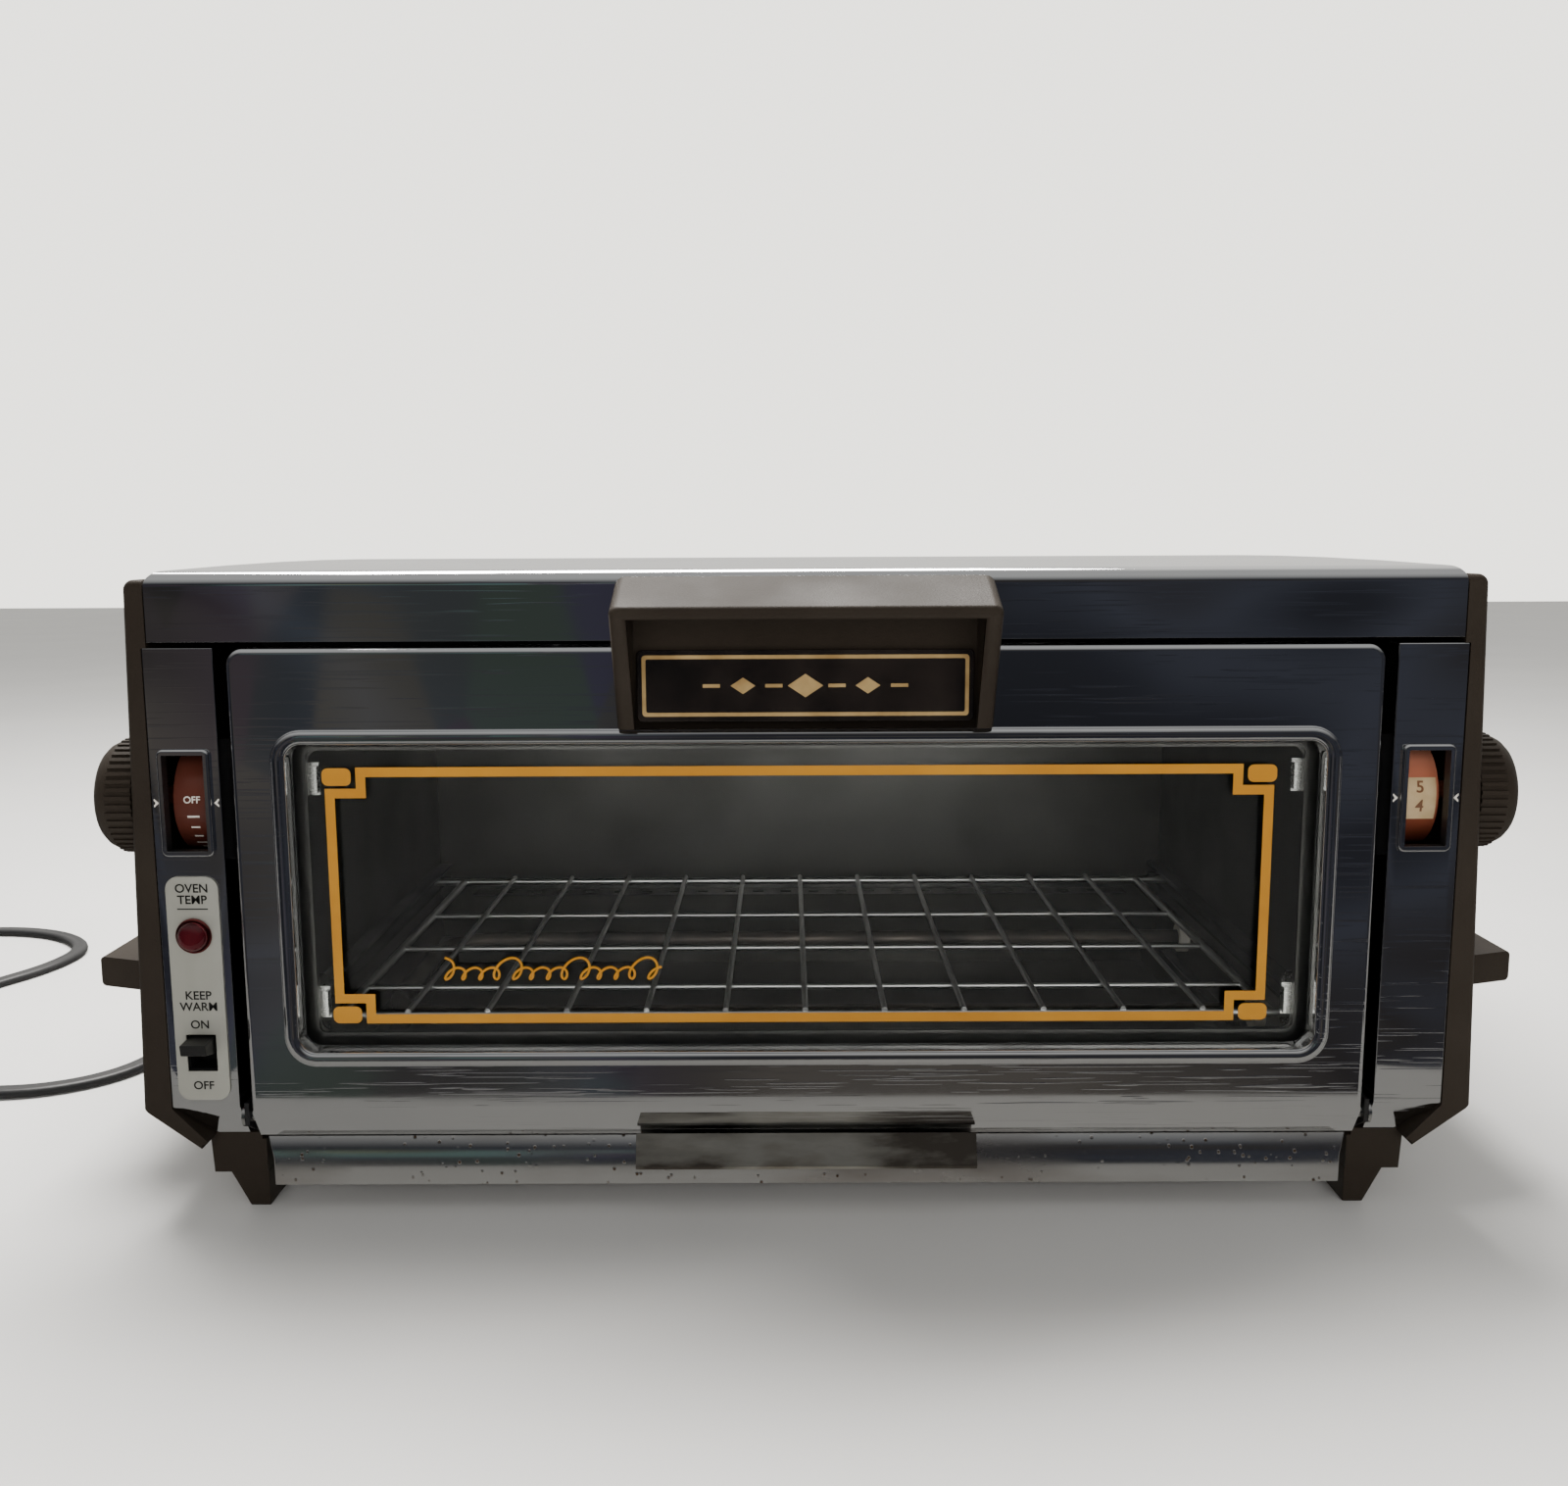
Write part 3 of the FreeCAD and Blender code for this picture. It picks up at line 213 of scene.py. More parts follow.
world = bpy.data.worlds.new("room")
bpy.context.scene.world = world
world.use_nodes = True
tree = world.node_tree
direction = tree.nodes.new("ShaderNodeTexCoord").outputs["Generated"]
split = tree.nodes.new("ShaderNodeSeparateXYZ")
squash = tree.nodes.new("ShaderNodeMapping")
squash.inputs["Scale"].default_value = (1.6, 0.0, 0.7)
shelves = tree.nodes.new("ShaderNodeTexVoronoi")
shelves.inputs["Scale"].default_value = 9.0
faded = tree.nodes.new("ShaderNodeHueSaturation")
faded.inputs["Saturation"].default_value = 0.42
faded.inputs["Value"].default_value = 0.16
join(tree, (direction, split.inputs["Vector"]), (direction, squash.inputs["Vector"]),
     (squash.outputs["Vector"], shelves.inputs["Vector"]),
     (shelves.outputs["Color"], faded.inputs["Color"]))
clutter = add_noise(tree, direction, 2.4, 2.0, (1.0, 1.0, 1.9))
dim_room = add_ramp(tree, clutter, [
    (0.30, (0.012, 0.012, 0.013)), (0.46, (0.020, 0.021, 0.026)), (0.52, (0.040, 0.043, 0.055)),
    (0.60, (0.024, 0.022, 0.022)), (0.72, (0.075, 0.068, 0.060))])
leftward = add_math(tree, "MULTIPLY", split.outputs["X"], -1.0)
shelf_span = add_ramp(tree, leftward, [(0.0, 0.0), (0.05, 0.0), (0.13, 1.0), (0.33, 1.0), (0.42, 0.0)])
shelf_rows = add_ramp(tree, split.outputs["Z"], [(0.0, 0.3), (0.04, 1.0), (0.16, 1.0), (0.22, 0.0)])
upward = add_ramp(tree, split.outputs["Z"], [(0.25, 0.0), (0.75, 1.0)])
backward = add_ramp(tree, split.outputs["Y"], [(0.0, 0.0), (0.35, 1.0)])
camera_ray = tree.nodes.new("ShaderNodeLightPath").outputs["Is Camera Ray"]
room = add_mix(tree, add_math(tree, "MULTIPLY", shelf_span, shelf_rows), dim_room, faded.outputs["Color"])
for share, colour in ((upward, (0.42, 0.42, 0.41, 1)), (backward, (0.95, 0.93, 0.88, 1)),
                      (camera_ray, (2.6, 2.54, 2.36, 1))):
    room = add_mix(tree, share, room, colour)
tree.links.new(room, tree.nodes["Background"].inputs["Color"])

# ---- Power cord
# Black flat twin lead. It leaves the back at the left, runs along the worktop beside the
# end panel, goes out and doubles back, and the rest of it is coiled with its plug.
lobe_radius = 1.85 * mm
cord_exit = Vector((-150, 134, 34)) * mm
floor_height = 1.95
route = [
    (-150, 133, 34), (-150, 153, 34), (-159, 172, 26), (-177, 185, 13), (-201, 186, 4.0),
    (-228, 168, floor_height), (-246, 142, floor_height), (-256, 108, floor_height),
    (-259, 70, floor_height), (-256, 32, floor_height), (-262, 0, floor_height),
    (-284, -18, floor_height), (-314, -21, floor_height), (-348, -14, floor_height),
    (-378, 6, floor_height), (-394, 38, floor_height), (-392, 74, floor_height),
    (-380, 108, floor_height), (-364, 138, floor_height), (-362, 170, floor_height),
    (-384, 194, floor_height), (-416, 205, floor_height), (-450, 200, floor_height),
    (-480, 183, floor_height),
]
coil_middle = Vector((-460.7, 150.8))
coil_turns = 2
turn_points = 12
outer_turn = 37.5
inner_step, back_out_at = 8.2, 0.72
cross_over, rise_at, rise_share = 4.2, 0.66, 0.14
start_angle = math.radians(121)
swept = math.radians(59) + coil_turns * math.tau
steps = round(swept / math.tau * turn_points)
for step in range(1, steps + 1):
    share = step / steps
    angle = start_angle + swept * share
    tucked = min(1.0, 2 * share) if share < back_out_at else (1.0 - share) / (1.0 - back_out_at)
    lift = cross_over * min(1.0, (share - rise_at) / rise_share) if share > rise_at else 0.0
    radius = outer_turn - inner_step * tucked
    route.append((coil_middle.x + radius * math.cos(angle), coil_middle.y + radius * math.sin(angle),
                  floor_height + lift))
plug_back = Vector((coil_middle.x - outer_turn, coil_middle.y - 36.0))
route.append((plug_back.x, plug_back.y + 20.0, 5.5))
route.append((plug_back.x, plug_back.y + 4.0, 5.5))

cord_data = bpy.data.curves.new("power_cord_line", "CURVE")
cord_data.dimensions = "3D"
cord_data.resolution_u = 8
cord_data.twist_mode = "Z_UP"
spline = cord_data.splines.new("NURBS")
spline.points.add(len(route) - 1)
for point, place in zip(spline.points, route):
    point.co = (*(Vector(place) * mm), 1.0)
spline.order_u = 3
spline.use_endpoint_u = True
cord = bpy.data.objects.new("power_cord_lead", cord_data)
bpy.context.collection.objects.link(cord)
cord_line = bpy.data.meshes.new_from_object(cord)
bpy.data.meshes.remove(cord_line)

profile_data = bpy.data.curves.new("twin_lead_section", "CURVE")
profile_data.dimensions = "2D"
profile = profile_data.splines.new("POLY")
lobe_steps = 9
section = []
for side in (1, -1):
    for step in range(lobe_steps):
        angle = math.radians(-120 + 240 * step / (lobe_steps - 1))
        section.append((side * (lobe_radius + lobe_radius * math.cos(angle)),
                        side * lobe_radius * math.sin(angle)))
profile.points.add(len(section) - 1)
for point, (across, up) in zip(profile.points, section):
    point.co = (across, up, 0, 1)
profile.use_cyclic_u = True
profile_object = bpy.data.objects.new("twin_lead_section", profile_data)
bpy.context.collection.objects.link(profile_object)
cord_data.bevel_mode = "OBJECT"
cord_data.bevel_object = profile_object
cord_data.use_fill_caps = True


def choose(piece):
    """Make a piece the only selected and active object."""
    bpy.ops.object.select_all(action="DESELECT")
    piece.select_set(True)
    bpy.context.view_layer.objects.active = piece


choose(cord)
bpy.ops.object.convert(target="MESH")
bpy.ops.object.shade_smooth_by_angle(angle=math.radians(50))
bpy.data.objects.remove(profile_object)


def new_group(name, *given_values):
    """Shader group with number inputs that puts out a roughness and a normal."""
    group = bpy.data.node_groups.new(name, "ShaderNodeTree")
    for key, value in given_values:
        socket = group.interface.new_socket(key, in_out="INPUT", socket_type="NodeSocketFloat")
        socket.default_value = value
    group.interface.new_socket("Roughness", in_out="OUTPUT", socket_type="NodeSocketFloat")
    group.interface.new_socket("Normal", in_out="OUTPUT", socket_type="NodeSocketVector")
    return (group, group.nodes.new("NodeGroupInput").outputs,
            group.nodes.new("NodeGroupOutput").inputs)


def use_group(tree, surface, group, *values):
    """Put a group with its values on a shader's roughness and normal."""
    node = tree.nodes.new("ShaderNodeGroup")
    node.node_tree = group
    for socket, value in zip(node.inputs, values):
        socket.default_value = value
    for key in ("Roughness", "Normal"):
        tree.links.new(node.outputs[key], surface.inputs[key])


def add_bump(tree, height, distance, strength, under=None):
    """Normal raised by a height, on top of another normal if one is given."""
    bump = tree.nodes.new("ShaderNodeBump")
    bump.inputs["Distance"].default_value = distance
    feed(tree, bump.inputs["Strength"], strength)
    tree.links.new(height, bump.inputs["Height"])
    if under is not None:
        tree.links.new(under, bump.inputs["Normal"])
    return bump.outputs["Normal"]


def grain_group():
    """Fine moulded grain: a bump over the whole surface and slow patches of gloss."""
    group, given, result = new_group("moulded_grain", ("Grain Size", 900.0), ("Grain Depth", 0.15),
                                     ("Gloss Low", 0.35), ("Gloss High", 0.5))
    place = object_place(group)
    grain = group.nodes.new("ShaderNodeTexNoise")
    grain.inputs["Detail"].default_value = 2.0
    gloss = group.nodes.new("ShaderNodeMapRange")
    gloss.inputs["From Min"].default_value = 0.35
    gloss.inputs["From Max"].default_value = 0.7
    join(group, (place, grain.inputs["Vector"]), (given["Grain Size"], grain.inputs["Scale"]),
         (add_noise(group, place, 22.0, 4.0), gloss.inputs["Value"]),
         (given["Gloss Low"], gloss.inputs["To Min"]), (given["Gloss High"], gloss.inputs["To Max"]),
         (gloss.outputs["Result"], result["Roughness"]),
         (add_bump(group, grain.outputs["Fac"], 0.0003, given["Grain Depth"]), result["Normal"]))
    return group


moulded_grain = grain_group()


def plastic(name, dark, light, grain_size=900.0, grain_depth=0.15, gloss=(0.35, 0.5), patch=14.0,
            shine=0.5):
    """Moulded plastic or rubber: two close colours in slow patches, with the grain group."""
    material, tree, surface = new_material(name, (("Specular IOR Level", shine),))
    colour = add_ramp(tree, add_noise(tree, object_place(tree), patch, 5.0), [(0.35, dark), (0.7, light)])
    join(tree, (colour, surface.inputs["Base Color"]))
    use_group(tree, surface, moulded_grain, grain_size, grain_depth, *gloss)
    return material


def dress(piece, material):
    piece.data.materials.clear()
    piece.data.materials.append(material)


def settle(piece, material, body, slot, *nodes):
    """Give a piece its material and body, and hide the solids it stands for; the slot is not used."""
    dress(piece, material)
    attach(piece, body)
    if nodes:
        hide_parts(*nodes)


cord_black = plastic("black_lead", (0.012, 0.012, 0.013), (0.026, 0.026, 0.027), 700.0, 0.2, (0.4, 0.55))
settle(cord, cord_black, "oven", "cord_black", "power_cord", "power_cord_coil")


def add_block(name, low, high):
    """Cube primitive stretched between two corners, with its place in its mesh."""
    low, high = Vector(low), Vector(high)
    bpy.ops.object.select_all(action="DESELECT")
    bpy.ops.mesh.primitive_cube_add(size=1, location=(low + high) / 2)
    block = bpy.context.object
    block.name = name
    block.scale = high - low
    bpy.ops.object.transform_apply(location=True, rotation=True, scale=True)
    return block


def soften(piece, width, segments=2, angle=35):
    """Bevelled, smooth-shaded edges that leave the flat faces flat."""
    choose(piece)
    bpy.ops.object.shade_smooth()
    bevel = piece.modifiers.new("soft_edges", "BEVEL")
    bevel.width = width
    bevel.segments = segments
    bevel.limit_method = "ANGLE"
    bevel.angle_limit = math.radians(angle)
    bpy.ops.object.modifier_apply(modifier=bevel.name)
    flats = piece.modifiers.new("flat_faces", "WEIGHTED_NORMAL")
    flats.weight = 100
    flats.keep_sharp = True
    bpy.ops.object.modifier_apply(modifier=flats.name)


def pick(piece, kind, test):
    """In edit mode, select the faces, edges or vertices whose middle passes the test."""
    choose(piece)
    bpy.ops.object.mode_set(mode="EDIT")
    bpy.ops.mesh.select_mode(type=kind)
    bpy.ops.mesh.select_all(action="DESELECT")
    mesh = bmesh.from_edit_mesh(piece.data)
    if kind == "VERT":
        for vertex in mesh.verts:
            vertex.select_set(test(vertex.co))
    elif kind == "EDGE":
        for edge in mesh.edges:
            edge.select_set(test((edge.verts[0].co + edge.verts[1].co) / 2, edge))
    else:
        for face in mesh.faces:
            face.select_set(test(face.calc_center_median(), face.normal))
    mesh.select_flush_mode()
    bmesh.update_edit_mesh(piece.data)


def leave_edit():
    bpy.ops.object.mode_set(mode="OBJECT")


# The moulded plug: a body that narrows to a ribbed tail, and two brass blades.
plug_low, plug_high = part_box("power_plug")
plug_body_back = plug_back.y * mm
plug = add_block("power_plug_moulding", (plug_low.x, plug_low.y, plug_low.z),
                 (plug_high.x, plug_body_back, plug_high.z))
pick(plug, "FACE", lambda middle, normal: normal.y > 0.9)
bpy.ops.mesh.inset(thickness=3.5 * mm)
bpy.ops.mesh.extrude_region_move(TRANSFORM_OT_translate={"value": (0, 4 * mm, -1.5 * mm)})
bpy.ops.transform.resize(value=(0.75, 1, 0.7))
for rib in range(4):
    bpy.ops.mesh.extrude_region_move(TRANSFORM_OT_translate={"value": (0, 2.4 * mm, -0.2 * mm)})
    bpy.ops.transform.resize(value=(0.8, 1, 0.8) if rib % 2 == 0 else (1.14, 1, 1.14))
leave_edit()
soften(plug, 1.6 * mm, 3, 30)
settle(plug, cord_black, "oven", "cord_black", "power_plug")
brass_material = mottled("plain_brass", 160.0, 4.0, [(0.3, (0.42, 0.30, 0.12)), (0.7, (0.70, 0.54, 0.26))],
                         [(0.3, 0.42), (0.7, 0.24)], metal)
dress(frame["nodes"]["plug_blades"], brass_material)



def add_round(name, radius, depth, place, axis, vertices):
    """Cylinder primitive along an axis, with its place in its mesh."""
    bpy.ops.object.select_all(action="DESELECT")
    turn = {"X": (0, math.radians(90), 0), "Y": (math.radians(90), 0, 0)}[axis]
    bpy.ops.mesh.primitive_cylinder_add(vertices=vertices, radius=radius, depth=depth, location=place,
                                        rotation=turn)
    drum = bpy.context.object
    drum.name = name
    bpy.ops.object.transform_apply(location=True, rotation=True, scale=True)
    return drum


# Strain relief: a tapered rubber sleeve with rings, from the back panel.
relief = add_round("strain_relief_sleeve", 6.3 * mm, 2.4 * mm,
                   (cord_exit.x, cord_exit.y + 1.3 * mm, cord_exit.z), "Y", 32)
pick(relief, "FACE", lambda middle, normal: normal.y > 0.9)
bpy.ops.mesh.inset(thickness=1.2 * mm)
for ring in range(8):
    bpy.ops.mesh.extrude_region_move(TRANSFORM_OT_translate={"value": (0, 1.6 * mm, -0.1 * mm * ring)})
    bpy.ops.transform.resize(value=(0.86, 1, 0.86) if ring % 2 == 0 else (1.10, 1, 1.10))
leave_edit()
soften(relief, 0.3 * mm, 2, 30)
settle(relief, cord_black, "oven", "cord_black", "cord_strain_relief")


# ---- End panels and feet
# Dark brown moulded panels with a ledge to lift by, foot blocks and tapered feet.
def finished_copy(node, name, width, segments=2, angle=35):
    """Copy of a plain solid with its faces merged and its edges softened."""
    piece = frame["nodes"][node].copy()
    piece.data = piece.data.copy()
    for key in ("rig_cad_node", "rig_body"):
        if key in piece:
            del piece[key]
    piece.name = name
    bpy.context.collection.objects.link(piece)
    choose(piece)
    bpy.ops.object.mode_set(mode="EDIT")
    bpy.ops.mesh.select_all(action="SELECT")
    bpy.ops.mesh.remove_doubles(threshold=0.002 * mm)
    bpy.ops.mesh.dissolve_limited(angle_limit=math.radians(0.6))
    leave_edit()
    soften(piece, width, segments, angle)
    return piece


brown = plastic("brown_moulding", (0.026, 0.020, 0.015), (0.038, 0.030, 0.023), 1500.0, 0.22,
                (0.5, 0.64), 14.0, 0.12)
for side in ("left", "right"):
    panel = finished_copy("end_panel_" + side, "end_panel_moulding_" + side, 0.5 * mm)
    settle(panel, brown, "oven", "brown_plastic", "end_panel_" + side)
    for place in ("front", "rear"):
        node = f"foot_{place}_{side}"
        foot = finished_copy(node, node + "_moulding", 0.6 * mm)
        settle(foot, brown, "oven", "brown_plastic", node)


# ---- Top cover, control strips and tray rail
# Pressed steel, chrome plated and polished. Years of wiping left hairline scratches.
def chrome_group():
    """Polished plate: a roughness with smears in it and hairline scratches in the normal."""
    group, given, result = new_group("polished_plate", ("Polish", 0.04), ("Smear", 0.05),
                                     ("Scratches", 0.1), ("Waviness", 0.05))
    place = object_place(group)
    smears = add_ramp(group, add_noise(group, place, 14.0, 6.0, (1, 1, 2.2)), [(0.42, 0.0), (0.78, 1.0)])
    hairs = None
    for number, turn in enumerate(((0.0, 0.5, 0.3), (0.2, -0.7, -0.2), (0.4, 0.1, 0.9))):
        hair = add_noise(group, place, 1.0, 1.0, (14 + 9 * number, 900, 1100), turn)
        hair = add_ramp(group, hair, [(0.66, 0.0), (0.71, 1.0)])
        hairs = hair if hairs is None else add_math(group, "MAXIMUM", hairs, hair)
    worn = add_ramp(group, add_noise(group, place, 7.0, 3.0), [(0.40, 0.15), (0.62, 1.0)])
    hairs = add_math(group, "MULTIPLY", hairs, worn)
    smeared = add_math(group, "MULTIPLY_ADD", smears, given["Smear"], given["Polish"])
    wave = add_bump(group, add_noise(group, place, 9.0, 1.0), 0.002, given["Waviness"])
    join(group, (add_math(group, "MULTIPLY_ADD", hairs, 0.16, smeared), result["Roughness"]),
         (add_bump(group, hairs, 0.00003, given["Scratches"], wave), result["Normal"]))
    return group


polished_plate = chrome_group()


def plated(name, low, high, polish, smear, scratches, waviness=0.03):
    """Metal with the polished plate group and two close tints."""
    material, tree, surface = new_material(name, metal)
    tint = add_ramp(tree, add_noise(tree, object_place(tree), 5.0, 3.0), [(0.35, low), (0.7, high)])
    join(tree, (tint, surface.inputs["Base Color"]))
    use_group(tree, surface, polished_plate, polish, smear, scratches, waviness)
    return material


chrome = plated("polished_chrome", (0.72, 0.73, 0.75), (0.80, 0.80, 0.81), 0.035, 0.07, 0.5, 0.02)
cover = finished_copy("top_cover", "top_cover_pressing", 0.35 * mm)
settle(cover, chrome, "oven", "chrome", "top_cover")
for side in ("left", "right"):
    strip = finished_copy("control_strip_" + side, "control_strip_pressing_" + side, 0.35 * mm, 3)
    settle(strip, chrome, "oven", "chrome", "control_strip_" + side)
    bezel = finished_copy("window_bezel_" + side, "window_bezel_pressing_" + side, 0.3 * mm, 3)
    settle(bezel, chrome, "oven", "chrome", "window_bezel_" + side)
    # The inner walls of each window opening take the black lead colour as painted shade, so the gap round
    # each drum reads dark.
    bezel.data.materials.append(cord_black)
    bezel_low, bezel_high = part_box("window_bezel_" + side)
    bezel_middle = (bezel_low + bezel_high) / 2
    for face in bezel.data.polygons:
        shade_painted_inner_wall = (face.center - bezel_middle).dot(face.normal) < 0 and abs(face.normal.y) < 0.3
        if shade_painted_inner_wall and face.center.y > bezel_low.y + 0.9 * mm:
            face.material_index = 1

# The rail of the crumb tray is the same plate, pitted and browned by crumbs and damp.
def add_cells(tree, place, scale):
    """Distance from the middles of small cells."""
    cells = tree.nodes.new("ShaderNodeTexVoronoi")
    cells.inputs["Scale"].default_value = scale
    tree.links.new(place, cells.inputs["Vector"])
    return cells.outputs["Distance"]


pitted, tree, surface = new_material("pitted_chrome", metal)
place = object_place(tree)
pit = add_ramp(tree, add_cells(tree, place, 330.0), [(0.10, 1.0), (0.22, 0.0)])
where = add_ramp(tree, add_noise(tree, place, 38.0, 5.0), [(0.40, 0.0), (0.56, 1.0)])
stain = add_ramp(tree, add_noise(tree, place, 26.0, 8.0, (0.5, 1, 2)), [(0.46, 0.0), (0.74, 0.5)])
rust = add_math(tree, "MULTIPLY", pit, where)
browned = add_math(tree, "MAXIMUM", rust, stain)
join(tree, (add_mix(tree, browned, (0.70, 0.70, 0.70, 1), (0.20, 0.125, 0.075, 1)),
            surface.inputs["Base Color"]),
     (add_ramp(tree, browned, [(0.0, 0.13), (1.0, 0.6)]), surface.inputs["Roughness"]),
     (add_bump(tree, rust, 0.0002, 0.5), surface.inputs["Normal"]))
rail = finished_copy("crumb_tray_front", "crumb_tray_rail", 0.35 * mm, 3)
settle(rail, pitted, "crumb_tray", "chrome", "crumb_tray_front")

# The pull tab is bare zinc-coated sheet, dull in patches.
zinc, tree, surface = new_material("zinc_coated_sheet", metal)
place = object_place(tree)
dull = add_noise(tree, place, 55.0, 8.0, (0.45, 1, 1.6))
join(tree, (add_ramp(tree, dull, [(0.38, (0.16, 0.14, 0.12)), (0.46, (0.38, 0.36, 0.32)),
                                  (0.60, (0.62, 0.60, 0.54)), (0.72, (0.40, 0.36, 0.30))]),
            surface.inputs["Base Color"]),
     (add_ramp(tree, dull, [(0.4, 0.55), (0.62, 0.34)]), surface.inputs["Roughness"]),
     (add_bump(tree, add_cells(tree, place, 160.0), 0.0002, 0.25), surface.inputs["Normal"]))
tab = finished_copy("crumb_tray_tab", "crumb_tray_pull_tab", 0.2 * mm)
settle(tab, zinc, "crumb_tray", "zinc", "crumb_tray_tab")

# ---- Door
# Pressed chrome front with a rolled rim round the window, glass behind it, and a
# steel backing plate. Gold lines are printed on the glass.
door_front = finished_copy("door_frame", "door_front_pressing", 0.3 * mm, 3)
settle(door_front, chrome, "door", "chrome", "door_frame")

glass_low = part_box("door_glass")[0]
clear_glass, tree, surface = new_material("door_glass_clear", (
    ("Base Color", (0.93, 0.95, 0.94, 1)), ("Roughness", 0.0), ("IOR", 1.22), ("Transmission Weight", 1.0)))
mix_through = tree.nodes.new("ShaderNodeMixShader")
see_through = tree.nodes.new("ShaderNodeBsdfTransparent")
ray_kind = tree.nodes.new("ShaderNodeLightPath")
join(tree, (ray_kind.outputs["Is Shadow Ray"], mix_through.inputs["Fac"]),
     (surface.outputs["BSDF"], mix_through.inputs[1]),
     (see_through.outputs["BSDF"], mix_through.inputs[2]),
     (mix_through.outputs["Shader"], tree.nodes["Material Output"].inputs["Surface"]))
dress(frame["nodes"]["door_glass"], clear_glass)


def stepped_outline(half, low, high, notch_x, notch_z, grow):
    """Rectangle with square notches cut from its corners, as (x, z) points."""
    quarter = [(half - notch_x + grow, high + grow), (half - notch_x + grow, high - notch_z + grow),
               (half + grow, high - notch_z + grow)]
    lower = [(x, low + high - z) for x, z in reversed(quarter)]
    right = quarter + lower
    return right + [(-x, z) for x, z in reversed(right)]


def made_mesh(name, data):
    """Object from a curve or a text, turned into a mesh."""
    piece = bpy.data.objects.new(name, data)
    bpy.context.collection.objects.link(piece)
    choose(piece)
    bpy.ops.object.convert(target="MESH")
    return piece


def stand_up(piece, place):
    """Turn a flat piece to face the front and put its place in its mesh."""
    piece.rotation_euler = (math.radians(90), 0, 0)
    piece.location = place
    bpy.ops.object.transform_apply(location=True, rotation=True, scale=True)


def flat_shape(name, outlines, depth, y):
    """Filled flat curve through (x, z) outlines, stood up facing the front, made a mesh."""
    data = bpy.data.curves.new(name, "CURVE")
    data.dimensions = "2D"
    data.fill_mode = "BOTH"
    data.extrude = depth / 2
    for outline in outlines:
        ring = data.splines.new("POLY")
        ring.points.add(len(outline) - 1)
        for point, (x, z) in zip(ring.points, outline):
            point.co = (x, z, 0, 1)
        ring.use_cyclic_u = True
    shape = made_mesh(name, data)
    stand_up(shape, (0, y, 0))
    return shape


gold = mottled("gold_print", 40.0, 4.0, [(0.3, (0.50, 0.205, 0.002)), (0.75, (0.60, 0.265, 0.006))], 0.42)


def rounded_outline(x_low, x_high, z_low, z_high, radius, steps=6):
    """Rectangle with round corners as (x, z) points."""
    points = []
    corners = ((x_high - radius, z_high - radius, 0), (x_low + radius, z_high - radius, 90),
               (x_low + radius, z_low + radius, 180), (x_high - radius, z_low + radius, 270))
    for x, z, first in corners:
        for step in range(steps + 1):
            angle = math.radians(first + 90 * step / steps)
            points.append((x + radius * math.cos(angle), z + radius * math.sin(angle)))
    return points


line_width = 2.9 * mm
print_middle = -1.85 * mm
print_half = 141.8 * mm - line_width / 2
print_low = 60.3 * mm + line_width / 2
print_high = 139.6 * mm - line_width / 2
step_across = 9.4 * mm
step_down = 6.4 * mm
glass_face = glass_low.y - 0.06 * mm
pill_height, pill_corner = 5.3 * mm, 1.8 * mm
frame_lines = [stepped_outline(print_half, print_low, print_high, step_across, step_down, grow)
               for grow in (line_width / 2, -line_width / 2)]
for side in (-1, 1):
    inner = print_half + line_width / 2 - 8.0 * mm
    outer = print_half + line_width / 2 + 0.7 * mm
    for low in (print_high + line_width / 2 - 5.5 * mm, print_low - line_width / 2 + 0.1 * mm):
        pill = rounded_outline(inner, outer, low, low + pill_height, pill_corner)
        frame_lines.append([(side * x, z) for x, z in pill])
frame_lines = [[(x + print_middle, z) for x, z in line] for line in frame_lines]
print_lines = flat_shape("glass_print_frame", frame_lines, 0.08 * mm, glass_face)
settle(print_lines, gold, "door", "glass")

# A running scroll in place of lettering: a looped line of even height.
scroll_left, scroll_right = -111.0 * mm, -44.0 * mm
scroll_height = 77.3 * mm
loops = 13
scroll_points = loops * 12
scroll = bpy.data.curves.new("glass_print_scroll", "CURVE")
scroll.dimensions = "3D"
scroll.bevel_depth = 0.45 * mm
scroll.bevel_resolution = 1
line = scroll.splines.new("NURBS")
line.points.add(scroll_points)
for index in range(scroll_points + 1):
    turn = index / scroll_points * loops * math.tau
    tall = 1.0 if round(turn / math.tau) % 4 == 0 else 0.55
    reach = 3.4 * mm * tall
    rise = reach * (1 + math.cos(turn)) - 3.2 * mm
    x = (scroll_left + (scroll_right - scroll_left) * index / scroll_points
         + reach * math.sin(turn) * 0.8 + rise * 0.35)
    z = scroll_height + rise
    line.points[index].co = (x, glass_face, z, 1)
line.order_u = 3
line.use_endpoint_u = True
scroll_piece = made_mesh("glass_print_scroll", scroll)
pick(scroll_piece, "VERT", lambda co: True)
bpy.ops.transform.resize(value=(1, 0.12, 1), center_override=(0, glass_face, 0))
leave_edit()
settle(scroll_piece, gold, "door", "glass")

# The rolled rim: a round bead that frames the window and catches the light.
frame_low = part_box("door_frame")[0]
window_half, window_low, window_high = 152.8 * mm, 53.5 * mm, 147.4 * mm
bead_radius = 2.2 * mm
bead_line = rounded_outline(-window_half - bead_radius, window_half + bead_radius,
                            window_low - bead_radius, window_high + bead_radius, 7.2 * mm, 10)
bead_data = bpy.data.curves.new("window_rim_bead", "CURVE")
bead_data.dimensions = "3D"
bead_data.bevel_depth = bead_radius
bead_data.bevel_resolution = 5
ring = bead_data.splines.new("POLY")
ring.points.add(len(bead_line) - 1)
for point, (x, z) in zip(ring.points, bead_line):
    point.co = (x, frame_low.y + bead_radius * 0.65, z, 1)
ring.use_cyclic_u = True
bead = made_mesh("window_rim_bead", bead_data)
pick(bead, "VERT", lambda co: True)
bpy.ops.transform.resize(value=(1, 0.75, 1), center_override=(0, frame_low.y, 0))
leave_edit()
bpy.ops.object.shade_smooth()
settle(bead, chrome, "door", "chrome")

